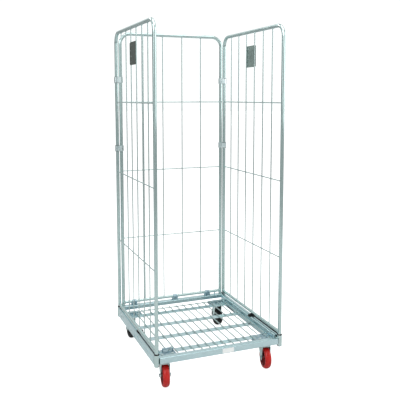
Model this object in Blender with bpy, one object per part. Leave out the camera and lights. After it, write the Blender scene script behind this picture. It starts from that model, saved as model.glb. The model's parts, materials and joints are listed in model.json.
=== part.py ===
"""Roll cage container: a wheeled steel base with a fold-up deck, a fixed back panel,
two lift-out side panels standing in corner sockets, two swivel casters and two fixed casters.

Metres, +Z up. The origin is on the floor under the middle of the cage. The open front faces -Y.
"""

import math

import bmesh
import bpy
from mathutils import Matrix, Vector

# ---- driving dimensions -------------------------------------------------------------------
HEIGHT = 1.700
PANEL_X = 0.3195
UPRIGHT_Y = 0.345
TUBE_R = 0.009
TUBE_BORE_R = 0.0075
TUBE_SIDES = 12
BEND_R = 0.055
BEND_STEPS = 6
GAP = 0.0003

BOTTOM_TUBE_R = 0.008
BOTTOM_TUBE_BORE_R = 0.0065
BACK_TUBE_Z = 0.1955
SIDE_TUBE_Z = 0.1885
WIRE_R = 0.0028
WIRE_SIDES = 8
WIRE_LAYER = 0.0024
CROSS_WIRE_Z = (0.565, 0.944, 1.323)
SIDE_WIRE_Y = (-0.240, -0.144, -0.048, 0.048, 0.144, 0.240)
BACK_WIRE_X = (-0.170, -0.057, 0.057, 0.170)
BACK_UPRIGHT_X = 0.297
RING_Z = (1.071, 1.443)
RING_HEIGHT = 0.030
RING_R = 0.0125
RING_SIDES = 24

SIGN_HALF_Y = 0.050
SIGN_Z = (1.507, 1.619)
SIGN_THICK = 0.0012

SOCKET_R = 0.0125
SOCKET_BORE_R = 0.0097
SOCKET_Z = (0.116, 0.1745)
SOCKET_FLOOR_Z = 0.122
COLLAR_TOP_Z = 0.1790
UPRIGHT_FOOT_Z = SOCKET_FLOOR_Z + 0.0006

RAIL_WALL = 0.002
FRONT_RAIL_Y = (-0.357, -0.327)
FRONT_RAIL_Z = (0.130, 0.160)
REAR_RAIL_Y = (0.330, 0.360)
REAR_RAIL_Z = (0.153, 0.175)
RAIL_HALF_X = 0.3062
SIDE_RAIL_X = (0.300, 0.3285)
SIDE_RAIL_Z = (0.118, 0.171)
SIDE_RAIL_WALL = 0.003
GROOVE_Z = (0.146, 0.153)
GROOVE_Y = (-0.316, -0.034)
NOTCH_Y = 0.0
NOTCH_R = 0.012
NOTCH_TOP_Z = 0.142
LEDGE_X = 0.285
LEDGE_Z = (0.1442, 0.1472)
LEDGE_Y = (-0.245, 0.255)

BUMPER_Y = -0.045
BUMPER_HALF_Y = 0.013
BRACKET_X = (-0.235, 0.010, 0.212)
BRACKET_HALF = (0.016, 0.011)
BRACKET_TOP_Z = 0.1935
LABEL_X = (0.005, 0.065)
LABEL_Z = (0.134, 0.156)
LABEL_THICK = 0.001

CORNER_INNER_X = 0.209
CORNER_OUTER_X = 0.2997
CORNER_SHEET = 0.003
FRONT_CORNER = ((-0.3267, -0.250), (0.1303, 0.152))
REAR_CORNER = ((0.235, 0.3297), (0.1303, 0.1435))

SLAT_Y = (-0.269, -0.102, 0.060, 0.227)
SLAT_WIDTH = 0.038
SLAT_Z = (0.1475, 0.1505)
SLAT_HALF_X = 0.292
FRONT_SLAT_HALF_X = 0.2055
ROD_PITCH = 0.041
RODS_EACH_SIDE = 7
LONG_RODS_EACH_SIDE = 5
ROD_Z = SLAT_Z[1] + GAP + WIRE_R
CROSS_ROD_Z = ROD_Z - 2 * WIRE_LAYER
ROD_REAR_Y = 0.300
ROD_FRONT_Y = -0.3245
SHORT_ROD_FRONT_Y = -0.244
CROSS_ROD_FRONT_Y = -0.312
DECK_HINGE_Y = 0.296
HINGE_ROD_HALF_X = 0.3026
HINGE_HOLE_R = 0.0036

WHEEL_R = 0.055
TYRE_BORE_R = 0.0428
TYRE_SEGMENTS = 32
ROUND_SEGMENTS = 24
CASTER_X = 0.2645
SWIVEL_Y = -0.282
TRAIL = 0.030
SWIVEL_REST = math.radians(-9.0)
CASTER_PLATE_HALF = (0.035, 0.046)
CASTER_PLATE_Z = (0.1257, 0.1297)
FORK_HALF_GAP = 0.0195
FORK_SHEET = 0.003
CROWN_Z = (0.1135, 0.1165)
RACE_R = 0.026
RACE_TOP_Z = 0.1254
KINGPIN_R = 0.006
KINGPIN_HEAD_R = 0.010
KINGPIN_HEAD_Z = (0.1075, 0.1130)
KINGPIN_BORE_R = 0.0072
AXLE_R = 0.005
AXLE_BORE_R = 0.0053
HUB_BORE_R = 0.0056
HEX_R = 0.0088
HEX_THICK = 0.006

# (radius, distance from the wheel's mid-plane) down one side of each turned section
TYRE_SHOULDER = ((TYRE_BORE_R, 0.0160), (0.0490, 0.0160), (0.0532, 0.0130), (WHEEL_R, 0.0075))
CORE_SIDE = (
    (HUB_BORE_R, 0.0185),
    (0.0130, 0.0185),
    (0.0150, 0.0060),
    (0.0380, 0.0060),
    (0.0388, 0.0145),
    (TYRE_BORE_R - GAP, 0.0145),
)

FRONT_REACH = max(
    r * math.cos(SWIVEL_REST) - w * math.sin(SWIVEL_REST) for r, w in TYRE_SHOULDER
) + TRAIL * math.cos(SWIVEL_REST) - SWIVEL_Y
REAR_WHEEL_Y = FRONT_REACH - WHEEL_R

# name: (colour, roughness, metallic)
FINISHES = {
    "zinc_steel": ((0.66, 0.76, 0.76), 0.32, 0.9),
    "zinc_sheet": ((0.60, 0.70, 0.71), 0.38, 0.9),
    "zinc_wire": ((0.70, 0.78, 0.78), 0.30, 0.9),
    "sign_sheet": ((0.24, 0.27, 0.25), 0.55, 0.2),
    "black_plastic": ((0.02, 0.02, 0.022), 0.5, 0.0),
    "black_rubber": ((0.015, 0.015, 0.017), 0.65, 0.0),
    "red_polyurethane": ((0.50, 0.02, 0.015), 0.35, 0.0),
    "red_core": ((0.30, 0.01, 0.01), 0.4, 0.0),
    "white_label": ((0.85, 0.87, 0.86), 0.5, 0.0),
}

AXIS_X = Matrix.Rotation(math.pi / 2, 4, "Y")
AXIS_Y = Matrix.Rotation(-math.pi / 2, 4, "X")
AXIS_Z = Matrix.Identity(4)


# ---- small shop of modelling helpers ------------------------------------------------------
def clear_scene():
    for obj in list(bpy.data.objects):
        bpy.data.objects.remove(obj, do_unlink=True)


def finish_material(node_name, finish):
    """Each node has a material of its own, in one of the shared finishes."""
    colour, roughness, metallic = FINISHES[finish]
    mat = bpy.data.materials.new(node_name)
    mat.use_nodes = True
    shader = mat.node_tree.nodes["Principled BSDF"]
    shader.inputs["Base Color"].default_value = (*colour, 1.0)
    shader.inputs["Roughness"].default_value = roughness
    shader.inputs["Metallic"].default_value = metallic
    mat.diffuse_color = (*colour, 1.0)
    return mat


def add_object(name, bm, finish, parent=None):
    """Turns a bmesh into a smooth-shaded object whose faces point out."""
    bmesh.ops.recalc_face_normals(bm, faces=bm.faces)
    mesh = bpy.data.meshes.new(name)
    bm.to_mesh(mesh)
    bm.free()
    mesh.shade_smooth()
    mesh.set_sharp_from_angle(angle=math.radians(35))
    obj = bpy.data.objects.new(name, mesh)
    bpy.context.scene.collection.objects.link(obj)
    if finish is not None:
        mesh.materials.append(finish_material(name, finish))
    obj.parent = parent
    return obj


def combine(obj, tool_bm, operation):
    """Adds a Boolean with a hidden tool body, which shares the object's place."""
    tool = add_object(f"{obj.name}.{operation.lower()}{len(obj.modifiers)}", tool_bm, None)
    tool.parent = obj
    tool.hide_render = True
    tool.display_type = "WIRE"
    modifier = obj.modifiers.new(operation.title(), "BOOLEAN")
    modifier.operation = operation
    modifier.solver = "EXACT"
    modifier.object = tool


def cuboid(x_range, y_range, z_range, bm=None):
    """A box between two values on each axis."""
    bm = bm or bmesh.new()
    low = Vector((x_range[0], y_range[0], z_range[0]))
    high = Vector((x_range[1], y_range[1], z_range[1]))
    place = Matrix.Translation((low + high) / 2) @ Matrix.Diagonal((*(high - low), 1.0))
    bmesh.ops.create_cube(bm, size=1.0, matrix=place)
    return bm


def rod(centre, length, radius, axis, segments, bm=None):
    """A straight solid bar along one axis."""
    bm = bm or bmesh.new()
    bmesh.ops.create_cone(
        bm,
        cap_ends=True,
        segments=segments,
        radius1=radius,
        radius2=radius,
        depth=length,
        matrix=Matrix.Translation(centre) @ axis,
    )
    return bm


def turned(section, segments, place):
    """A section of (radius, height) points, closed on itself, turned about its own axis."""
    bm = bmesh.new()
    points = [bm.verts.new((radius, 0.0, height)) for radius, height in section]
    edges = [bm.edges.new((a, b)) for a, b in zip(points, points[1:] + points[:1])]
    bmesh.ops.spin(
        bm,
        geom=points + edges,
        cent=(0, 0, 0),
        axis=(0, 0, 1),
        angle=2 * math.pi,
        steps=segments,
        use_merge=True,
    )
    bmesh.ops.remove_doubles(bm, verts=bm.verts, dist=0.00001)
    bmesh.ops.transform(bm, matrix=place, verts=bm.verts)
    return bm


def extruded(outline, thickness, place):
    """An outline in the XY plane pulled up along Z, then put in place."""
    bm = bmesh.new()
    face = bm.faces.new([bm.verts.new((x, y, 0.0)) for x, y in outline])
    grown = bmesh.ops.extrude_face_region(bm, geom=[face])
    verts = [item for item in grown["geom"] if isinstance(item, bmesh.types.BMVert)]
    bmesh.ops.translate(bm, verts=verts, vec=(0, 0, thickness))
    bmesh.ops.transform(bm, matrix=place, verts=bm.verts)
    return bm


def arc(centre, radius, start, end, steps):
    """Points from one angle to the other, in degrees."""
    angles = [math.radians(start + (end - start) * i / steps) for i in range(steps + 1)]
    return [(centre[0] + radius * math.cos(a), centre[1] + radius * math.sin(a)) for a in angles]


def swept_tube(path, flat_normal, radius, bore, sides):
    """A hollow tube with open ends along a path that lies in one plane."""
    bm = bmesh.new()
    rings = []
    for i, point in enumerate(path):
        before = (point - path[i - 1]).normalized() if i else None
        after = (path[i + 1] - point).normalized() if i + 1 < len(path) else None
        along = ((before or after) + (after or before)).normalized()
        across = along.cross(flat_normal)
        stretch = 1.0 / max(along.dot(after or before), 0.5)
        for size in (radius, bore):
            ring = []
            for k in range(sides):
                turn = 2 * math.pi * k / sides
                offset = across * (math.cos(turn) * size * stretch)
                ring.append(bm.verts.new(point + offset + flat_normal * (math.sin(turn) * size)))
            rings.append(ring)
    outer, inner = rings[0::2], rings[1::2]
    for skin in (outer, inner):
        for near, far in zip(skin, skin[1:]):
            bridge(bm, near, far)
    bridge(bm, outer[0], inner[0])
    bridge(bm, outer[-1], inner[-1])
    return bm


def bridge(bm, near, far):
    """Joins two rings of points with a band of faces."""
    count = len(near)
    for k in range(count):
        bm.faces.new((near[k], near[(k + 1) % count], far[(k + 1) % count], far[k]))


# ---- panels ------------------------------------------------------------------------------
def hoop_outline(half_span, foot_z):
    """Centreline of an inverted U, as (across, up) points, with a bent corner at each side."""
    top = HEIGHT - TUBE_R
    bend_z = top - BEND_R
    inner = half_span - BEND_R
    left = arc((-inner, bend_z), BEND_R, 180, 90, BEND_STEPS)
    right = arc((inner, bend_z), BEND_R, 90, 0, BEND_STEPS)
    return [(-half_span, foot_z)] + left + right + [(half_span, foot_z)]


def make_hoop(name, half_span, foot_z, to_world, flat_normal, parent=None):
    path = [to_world(across, up) for across, up in hoop_outline(half_span, foot_z)]
    bm = swept_tube(path, flat_normal, TUBE_R, TUBE_BORE_R, TUBE_SIDES)
    return add_object(name, bm, "zinc_steel", parent)


def make_bottom_tube(name, half_span, tube_z, to_world, flat_normal, parent=None):
    reach = half_span - TUBE_R - GAP
    path = [to_world(-reach, tube_z), to_world(reach, tube_z)]
    bm = swept_tube(path, flat_normal, BOTTOM_TUBE_R, BOTTOM_TUBE_BORE_R, TUBE_SIDES)
    return add_object(name, bm, "zinc_steel", parent)


def make_wires(name, half_span, tube_z, places, to_world, across_axis, parent=None):
    """Upright wires on the inner layer and cross wires on the outer one, fused where they are welded."""
    low = tube_z + BOTTOM_TUBE_R + GAP
    high = HEIGHT - 2 * TUBE_R - GAP
    uprights = bmesh.new()
    for place in places:
        centre = to_world(place, (low + high) / 2, -WIRE_LAYER)
        rod(centre, high - low, WIRE_R, AXIS_Z, WIRE_SIDES, uprights)
    obj = add_object(name, uprights, "zinc_wire", parent)
    cross = bmesh.new()
    for height in CROSS_WIRE_Z:
        centre = to_world(0.0, height, WIRE_LAYER)
        rod(centre, 2 * (half_span - TUBE_R - GAP), WIRE_R, across_axis, WIRE_SIDES, cross)
    combine(obj, cross, "UNION")
    return obj


def make_side_panel(side, sign):
    """A side panel on its own empty, which rides up and down the corner sockets."""
    lift = bpy.data.objects.new(f"{side}_panel_lift", None)
    lift.location = (sign * PANEL_X, 0.0, UPRIGHT_FOOT_Z)
    bpy.context.scene.collection.objects.link(lift)
    origin = lift.location.copy()

    def to_world(across, up, outward=0.0):
        return Vector((sign * (PANEL_X + outward), across, up)) - origin

    normal = Vector((1, 0, 0))
    make_hoop(f"{side}_panel_hoop", UPRIGHT_Y, UPRIGHT_FOOT_Z, to_world, normal, lift)
    make_bottom_tube(f"{side}_panel_bottom_tube", UPRIGHT_Y, SIDE_TUBE_Z, to_world, normal, lift)
    make_wires(f"{side}_panel_wires", UPRIGHT_Y, SIDE_TUBE_Z, SIDE_WIRE_Y, to_world, AXIS_Y, lift)
    inner = PANEL_X - WIRE_LAYER + WIRE_R + GAP
    faces = sorted((sign * inner, sign * (inner + SIGN_THICK)))
    sign_bm = cuboid(faces, (-SIGN_HALF_Y, SIGN_HALF_Y), SIGN_Z)
    bmesh.ops.translate(sign_bm, verts=sign_bm.verts, vec=-origin)
    add_object(f"{side}_sign_plate", sign_bm, "sign_sheet", lift)


def make_back_panel():
    """The back panel stands on the rear rail and never moves."""

    def to_world(across, up, outward=0.0):
        return Vector((across, UPRIGHT_Y + outward, up))

    normal = Vector((0, 1, 0))
    make_hoop("back_panel_hoop", BACK_UPRIGHT_X, REAR_RAIL_Z[1] + GAP, to_world, normal)
    make_bottom_tube("back_panel_bottom_tube", BACK_UPRIGHT_X, BACK_TUBE_Z, to_world, normal)
    make_wires("back_panel_wires", BACK_UPRIGHT_X, BACK_TUBE_Z, BACK_WIRE_X, to_world, AXIS_X)
    for name, x in zip(("left", "middle", "right"), BRACKET_X):
        half_x, half_y = BRACKET_HALF
        block = cuboid(
            (x - half_x, x + half_x),
            (UPRIGHT_Y - half_y, UPRIGHT_Y + half_y),
            (REAR_RAIL_Z[1] + GAP, BRACKET_TOP_Z),
        )
        obj = add_object(f"back_saddle_{name}", block, "zinc_sheet")
        seat = rod(
            (x, UPRIGHT_Y, BACK_TUBE_Z), 4 * half_x, BOTTOM_TUBE_R + GAP, AXIS_X, ROUND_SEGMENTS
        )
        combine(obj, seat, "DIFFERENCE")


def make_hinge_rings():
    """Twin-eye clips: one eye grips the back panel's upright, the other guides the side panel's."""
    for side, sign in (("left", -1), ("right", 1)):
        for level, height in zip(("lower", "upper"), RING_Z):
            outline = arc((PANEL_X, 0), RING_R, -90, 90, 10) + arc((BACK_UPRIGHT_X, 0), RING_R, 90, 270, 10)
            place = Matrix.Translation((0, UPRIGHT_Y, height - RING_HEIGHT / 2))
            mirror = Matrix.Diagonal((sign, 1, 1, 1))
            obj = add_object(
                f"{side}_hinge_ring_{level}",
                extruded(outline, RING_HEIGHT, place @ mirror),
                "zinc_sheet",
            )
            eyes = bmesh.new()
            for x, radius in ((PANEL_X, SOCKET_BORE_R), (BACK_UPRIGHT_X, TUBE_R + GAP)):
                centre = (sign * x, UPRIGHT_Y, height)
                rod(centre, 2 * RING_HEIGHT, radius, AXIS_Z, RING_SIDES, eyes)
            combine(obj, eyes, "DIFFERENCE")


# ---- base frame --------------------------------------------------------------------------
def make_cross_rail(name, y_range, z_range):
    obj = add_object(name, cuboid((-RAIL_HALF_X, RAIL_HALF_X), y_range, z_range), "zinc_sheet")
    hollow = cuboid(
        (-RAIL_HALF_X - RAIL_WALL, RAIL_HALF_X + RAIL_WALL),
        (y_range[0] + RAIL_WALL, y_range[1] - RAIL_WALL),
        (z_range[0] + RAIL_WALL, z_range[1] - RAIL_WALL),
    )
    combine(obj, hollow, "DIFFERENCE")
    return obj


def mirrored(x_range, sign):
    return sorted(sign * x for x in x_range)


def make_side_rail(side, sign):
    """A box rail with a groove down its front half, an arched notch and a ledge for the deck."""
    y_range = (FRONT_RAIL_Y[1] + GAP, REAR_RAIL_Y[0] - GAP)
    rail = add_object(
        f"{side}_side_rail", cuboid(mirrored(SIDE_RAIL_X, sign), y_range, SIDE_RAIL_Z), "zinc_sheet"
    )
    combine(rail, cuboid(mirrored((LEDGE_X, SIDE_RAIL_X[0] + RAIL_WALL), sign), LEDGE_Y, LEDGE_Z), "UNION")
    wall = SIDE_RAIL_WALL
    hollow = cuboid(
        mirrored((SIDE_RAIL_X[0] + wall, SIDE_RAIL_X[1] - wall), sign),
        (y_range[0] - wall, y_range[1] + wall),
        (SIDE_RAIL_Z[0] + wall, SIDE_RAIL_Z[1] - wall),
    )
    combine(rail, hollow, "DIFFERENCE")
    outer_wall = mirrored((SIDE_RAIL_X[1] - 2 * wall, SIDE_RAIL_X[1] + wall), sign)
    combine(rail, cuboid(outer_wall, GROOVE_Y, GROOVE_Z), "DIFFERENCE")
    notch = arc((NOTCH_Y, NOTCH_TOP_Z - NOTCH_R), NOTCH_R, 0, 180, 8)
    notch += [(NOTCH_Y - NOTCH_R, SIDE_RAIL_Z[0] - wall), (NOTCH_Y + NOTCH_R, SIDE_RAIL_Z[0] - wall)]
    stand_up = Matrix(((0, 0, 1, outer_wall[0]), (1, 0, 0, 0), (0, 1, 0, 0), (0, 0, 0, 1)))
    combine(rail, extruded(notch, outer_wall[1] - outer_wall[0], stand_up), "DIFFERENCE")
    hole_x = sign * (SIDE_RAIL_X[0] + wall / 2)
    hole = rod((hole_x, DECK_HINGE_Y, CROSS_ROD_Z), 2 * wall, HINGE_HOLE_R, AXIS_X, ROUND_SEGMENTS)
    combine(rail, hole, "DIFFERENCE")


def make_corner(name, sign, y_range, z_range):
    """A pressed channel over the caster: a flat top on two side flanges."""
    obj = add_object(
        name, cuboid(mirrored((CORNER_INNER_X, CORNER_OUTER_X), sign), y_range, z_range), "zinc_sheet"
    )
    hollow = cuboid(
        mirrored((CORNER_INNER_X + CORNER_SHEET, CORNER_OUTER_X - CORNER_SHEET), sign),
        (y_range[0] - CORNER_SHEET, y_range[1] + CORNER_SHEET),
        (z_range[0] - CORNER_SHEET, z_range[1] - CORNER_SHEET),
    )
    combine(obj, hollow, "DIFFERENCE")


def make_socket(name, x, y):
    """A cup that an upright drops into, and the plastic collar round its mouth."""
    base, mouth = SOCKET_Z
    edge = 0.004
    place = Matrix.Translation((x, y, 0))
    cup = turned(
        (
            (0.0, base),
            (SOCKET_R - edge, base),
            (SOCKET_R, base + edge),
            (SOCKET_R, mouth),
            (SOCKET_BORE_R, mouth),
            (SOCKET_BORE_R, SOCKET_FLOOR_Z),
            (0.0, SOCKET_FLOOR_Z),
        ),
        ROUND_SEGMENTS,
        place,
    )
    add_object(f"{name}_socket", cup, "zinc_steel")
    foot = mouth + GAP
    ring = turned(
        (
            (SOCKET_BORE_R, foot),
            (SOCKET_R, foot),
            (SOCKET_R, COLLAR_TOP_Z - GAP),
            (SOCKET_BORE_R, COLLAR_TOP_Z),
        ),
        ROUND_SEGMENTS,
        place,
    )
    add_object(f"{name}_collar", ring, "black_plastic")


def make_base():
    make_cross_rail("front_rail", FRONT_RAIL_Y, FRONT_RAIL_Z)
    make_cross_rail("rear_rail", REAR_RAIL_Y, REAR_RAIL_Z)
    label_y = (FRONT_RAIL_Y[0] - GAP - LABEL_THICK, FRONT_RAIL_Y[0] - GAP)
    add_object("rail_label", cuboid(LABEL_X, label_y, LABEL_Z), "white_label")
    for side, sign in (("left", -1), ("right", 1)):
        make_side_rail(side, sign)
        make_corner(f"front_{side}_corner", sign, *FRONT_CORNER)
        make_corner(f"rear_{side}_corner", sign, *REAR_CORNER)
        make_socket(f"front_{side}", sign * PANEL_X, -UPRIGHT_Y)
        make_socket(f"rear_{side}", sign * PANEL_X, UPRIGHT_Y)
        bumper = cuboid(
            mirrored((PANEL_X - TUBE_R, SIDE_RAIL_X[1]), sign),
            (BUMPER_Y - BUMPER_HALF_Y, BUMPER_Y + BUMPER_HALF_Y),
            (SIDE_RAIL_Z[1] + GAP, SIDE_TUBE_Z - BOTTOM_TUBE_R - GAP),
        )
        add_object(f"{side}_bumper", bumper, "black_rubber")


# ---- deck --------------------------------------------------------------------------------
def make_deck():
    """Flat slats under a grid of rods. The rearmost cross rod is the hinge."""
    hinge = bpy.data.objects.new("deck_hinge", None)
    hinge.location = (0.0, DECK_HINGE_Y, CROSS_ROD_Z)
    bpy.context.scene.collection.objects.link(hinge)
    origin = hinge.location.copy()
    for number, y in enumerate(SLAT_Y, start=1):
        half_x = FRONT_SLAT_HALF_X if number == 1 else SLAT_HALF_X
        slat = cuboid((-half_x, half_x), (y - SLAT_WIDTH / 2, y + SLAT_WIDTH / 2), SLAT_Z)
        bmesh.ops.translate(slat, verts=slat.verts, vec=-origin)
        add_object(f"deck_slat_{number}", slat, "zinc_sheet", hinge)
    rods = bmesh.new()
    for k in range(-RODS_EACH_SIDE, RODS_EACH_SIDE + 1):
        front = ROD_FRONT_Y if abs(k) <= LONG_RODS_EACH_SIDE else SHORT_ROD_FRONT_Y
        centre = Vector((k * ROD_PITCH, (front + ROD_REAR_Y) / 2, ROD_Z)) - origin
        rod(centre, ROD_REAR_Y - front, WIRE_R, AXIS_Y, WIRE_SIDES, rods)
    grid = add_object("deck_rods", rods, "zinc_wire", hinge)
    cross = bmesh.new()
    long_reach = LONG_RODS_EACH_SIDE * ROD_PITCH + WIRE_R
    for y, reach in ((CROSS_ROD_FRONT_Y, long_reach), (DECK_HINGE_Y, HINGE_ROD_HALF_X)):
        centre = Vector((0.0, y, CROSS_ROD_Z)) - origin
        rod(centre, 2 * reach, WIRE_R, AXIS_X, WIRE_SIDES, cross)
    combine(grid, cross, "UNION")


# ---- casters -----------------------------------------------------------------------------
def both_sides(half_section):
    """A turned section closed by its own mirror image across the wheel's mid-plane."""
    return [(r, -w) for r, w in half_section] + [(r, w) for r, w in reversed(half_section)]


def make_wheel(name, axle_place, tyre_finish, core_finish, parent):
    tyre = turned(both_sides(TYRE_SHOULDER), TYRE_SEGMENTS, axle_place)
    add_object(f"{name}_tyre", tyre, tyre_finish, parent)
    core = turned(both_sides(CORE_SIDE), ROUND_SEGMENTS, axle_place)
    add_object(f"{name}_wheel_core", core, core_finish, parent)


def make_axle(name, axle_place, parent):
    """An axle bolt with a hexagon outside each fork leg."""
    leg_face = FORK_HALF_GAP + FORK_SHEET
    shaft = rod((0, 0, 0), 2 * (leg_face + HEX_THICK / 2), AXLE_R, AXIS_Z, ROUND_SEGMENTS)
    bmesh.ops.transform(shaft, matrix=axle_place, verts=shaft.verts)
    obj = add_object(f"{name}_axle", shaft, "zinc_steel", parent)
    heads = bmesh.new()
    for end in (-1, 1):
        offset = end * (leg_face + GAP + HEX_THICK / 2)
        rod((0, 0, offset), HEX_THICK, HEX_R, AXIS_Z, 6, heads)
    bmesh.ops.transform(heads, matrix=axle_place, verts=heads.verts)
    combine(obj, heads, "UNION")


def fork_blank(top_z, y_reach, leg_outline, place):
    """An inverted channel, and the leg shape that it is trimmed to. Local Y runs fore and aft."""
    outer = FORK_HALF_GAP + FORK_SHEET
    low = WHEEL_R - 2 * HEX_R
    channel = [
        (-outer, low),
        (-FORK_HALF_GAP, low),
        (-FORK_HALF_GAP, top_z - FORK_SHEET),
        (FORK_HALF_GAP, top_z - FORK_SHEET),
        (FORK_HALF_GAP, low),
        (outer, low),
        (outer, top_z),
        (-outer, top_z),
    ]
    along_y = Matrix(((1, 0, 0, 0), (0, 0, 1, y_reach[0]), (0, 1, 0, 0), (0, 0, 0, 1)))
    blank = extruded(channel, y_reach[1] - y_reach[0], place @ along_y)
    along_x = Matrix(((0, 0, 1, -2 * outer), (1, 0, 0, 0), (0, 1, 0, 0), (0, 0, 0, 1)))
    trim = extruded(leg_outline, 4 * outer, place @ along_x)
    return blank, trim


def make_front_caster(side, sign):
    """A swivel caster: plate and kingpin on the base, fork below it, wheel trailing forward."""
    name = f"front_{side}"
    turn = Matrix.Rotation(SWIVEL_REST, 4, "Z")
    spot = Matrix.Translation((sign * CASTER_X, SWIVEL_Y, 0.0))
    half_x, half_y = CASTER_PLATE_HALF
    plate = cuboid((-half_x, half_x), (-half_y, half_y), CASTER_PLATE_Z)
    bmesh.ops.transform(plate, matrix=spot, verts=plate.verts)
    plate_obj = add_object(f"{name}_caster_plate", plate, "zinc_sheet")
    pin = turned(
        (
            (0.0, KINGPIN_HEAD_Z[0]),
            (KINGPIN_HEAD_R, KINGPIN_HEAD_Z[0]),
            (KINGPIN_HEAD_R, KINGPIN_HEAD_Z[1]),
            (KINGPIN_R, KINGPIN_HEAD_Z[1]),
            (KINGPIN_R, CASTER_PLATE_Z[1] - GAP),
            (0.0, CASTER_PLATE_Z[1] - GAP),
        ),
        ROUND_SEGMENTS,
        spot,
    )
    combine(plate_obj, pin, "UNION")

    swivel = bpy.data.objects.new(f"{name}_swivel", None)
    swivel.matrix_world = spot @ turn
    bpy.context.scene.collection.objects.link(swivel)
    outline = arc((-TRAIL, WHEEL_R), 0.0125, 180, 360, 8)
    outline += [(0.020, CROWN_Z[0] - 0.012), (0.020, CROWN_Z[1] + GAP), (-0.045, CROWN_Z[1] + GAP)]
    local = Matrix.Identity(4)
    blank, trim = fork_blank(CROWN_Z[1], (-0.048, 0.024), outline, local)
    fork = add_object(f"{name}_fork", blank, "zinc_steel", swivel)
    combine(fork, trim, "INTERSECT")
    race_z = CROWN_Z[1] - GAP
    race = rod((0, 0, (race_z + RACE_TOP_Z) / 2), RACE_TOP_Z - race_z, RACE_R, AXIS_Z, ROUND_SEGMENTS)
    combine(fork, race, "UNION")
    combine(fork, rod((0, 0, CROWN_Z[1]), 0.04, KINGPIN_BORE_R, AXIS_Z, ROUND_SEGMENTS), "DIFFERENCE")
    axle_place = Matrix.Translation((0, -TRAIL, WHEEL_R)) @ AXIS_X
    bore = rod((0, -TRAIL, WHEEL_R), 0.1, AXLE_BORE_R, AXIS_X, ROUND_SEGMENTS)
    combine(fork, bore, "DIFFERENCE")
    make_axle(name, axle_place, swivel)

    spin = bpy.data.objects.new(f"{name}_spin", None)
    spin.matrix_world = spot @ turn @ Matrix.Translation((0, -TRAIL, WHEEL_R))
    bpy.context.scene.collection.objects.link(spin)
    make_wheel(name, AXIS_X, "red_polyurethane", "red_core", spin)


def make_rear_caster(side, sign):
    """A fixed caster: its bracket is a plate with two legs, and only the wheel turns."""
    name = f"rear_{side}"
    spot = Matrix.Translation((sign * CASTER_X, REAR_WHEEL_Y, 0.0))
    outline = arc((0.0, WHEEL_R), 0.0125, 180, 360, 8)
    outline += [(0.018, CASTER_PLATE_Z[0] - 0.010), (0.018, CASTER_PLATE_Z[1]), (-0.018, CASTER_PLATE_Z[1])]
    outline += [(-0.018, CASTER_PLATE_Z[0] - 0.010)]
    blank, trim = fork_blank(CASTER_PLATE_Z[0] + GAP, (-0.034, 0.034), outline, spot)
    bracket = add_object(f"{name}_caster_bracket", blank, "zinc_steel")
    combine(bracket, trim, "INTERSECT")
    half_x, half_y = CASTER_PLATE_HALF
    plate = cuboid((-half_x, half_x), (-half_y, half_y), CASTER_PLATE_Z)
    bmesh.ops.transform(plate, matrix=spot, verts=plate.verts)
    combine(bracket, plate, "UNION")
    centre = spot @ Vector((0, 0, WHEEL_R))
    combine(bracket, rod(centre, 0.1, AXLE_BORE_R, AXIS_X, ROUND_SEGMENTS), "DIFFERENCE")
    make_axle(name, Matrix.Translation(centre) @ AXIS_X, None)

    spin = bpy.data.objects.new(f"{name}_spin", None)
    spin.location = centre
    bpy.context.scene.collection.objects.link(spin)
    make_wheel(name, AXIS_X, "black_rubber", "black_plastic", spin)


def main():
    clear_scene()
    make_base()
    make_back_panel()
    make_hinge_rings()
    make_deck()
    for side, sign in (("left", -1), ("right", 1)):
        make_side_panel(side, sign)
        make_front_caster(side, sign)
        make_rear_caster(side, sign)


main()
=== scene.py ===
"""Finished looks of a roll cage container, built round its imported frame.

Every length is in metres, in the frame's own axes: +Z up, open front towards -Y.
Each sub-assembly is a class: its fields are its sizes, its methods build and dress its pieces.
"""

from __future__ import annotations

import json
import logging
import math
from dataclasses import dataclass
from enum import Enum
from typing import Iterable, Sequence

import bmesh
import bpy
from mathutils import Matrix, Vector

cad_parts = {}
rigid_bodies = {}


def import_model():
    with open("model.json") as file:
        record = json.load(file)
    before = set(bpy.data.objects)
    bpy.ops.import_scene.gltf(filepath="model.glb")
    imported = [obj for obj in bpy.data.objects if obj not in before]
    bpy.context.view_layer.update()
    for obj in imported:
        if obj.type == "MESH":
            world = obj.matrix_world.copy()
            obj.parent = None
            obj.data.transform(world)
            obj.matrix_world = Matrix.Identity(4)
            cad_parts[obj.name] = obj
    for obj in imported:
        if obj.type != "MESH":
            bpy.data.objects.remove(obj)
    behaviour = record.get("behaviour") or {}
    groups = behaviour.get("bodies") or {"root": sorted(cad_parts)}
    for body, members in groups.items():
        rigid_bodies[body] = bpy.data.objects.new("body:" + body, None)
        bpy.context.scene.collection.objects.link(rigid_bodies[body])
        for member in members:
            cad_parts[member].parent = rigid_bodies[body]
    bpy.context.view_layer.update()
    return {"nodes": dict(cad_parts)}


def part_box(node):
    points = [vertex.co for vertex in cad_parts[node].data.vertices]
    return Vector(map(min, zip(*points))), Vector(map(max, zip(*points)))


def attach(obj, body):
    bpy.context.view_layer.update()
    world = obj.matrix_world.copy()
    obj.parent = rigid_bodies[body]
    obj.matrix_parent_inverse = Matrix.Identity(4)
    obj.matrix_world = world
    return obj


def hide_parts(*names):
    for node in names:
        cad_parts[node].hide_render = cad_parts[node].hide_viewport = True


LOG = logging.getLogger("roll_cage")

Flat = tuple[float, float]
Colour = tuple[float, float, float]
Stops = Sequence[tuple[float, Colour]]

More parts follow.
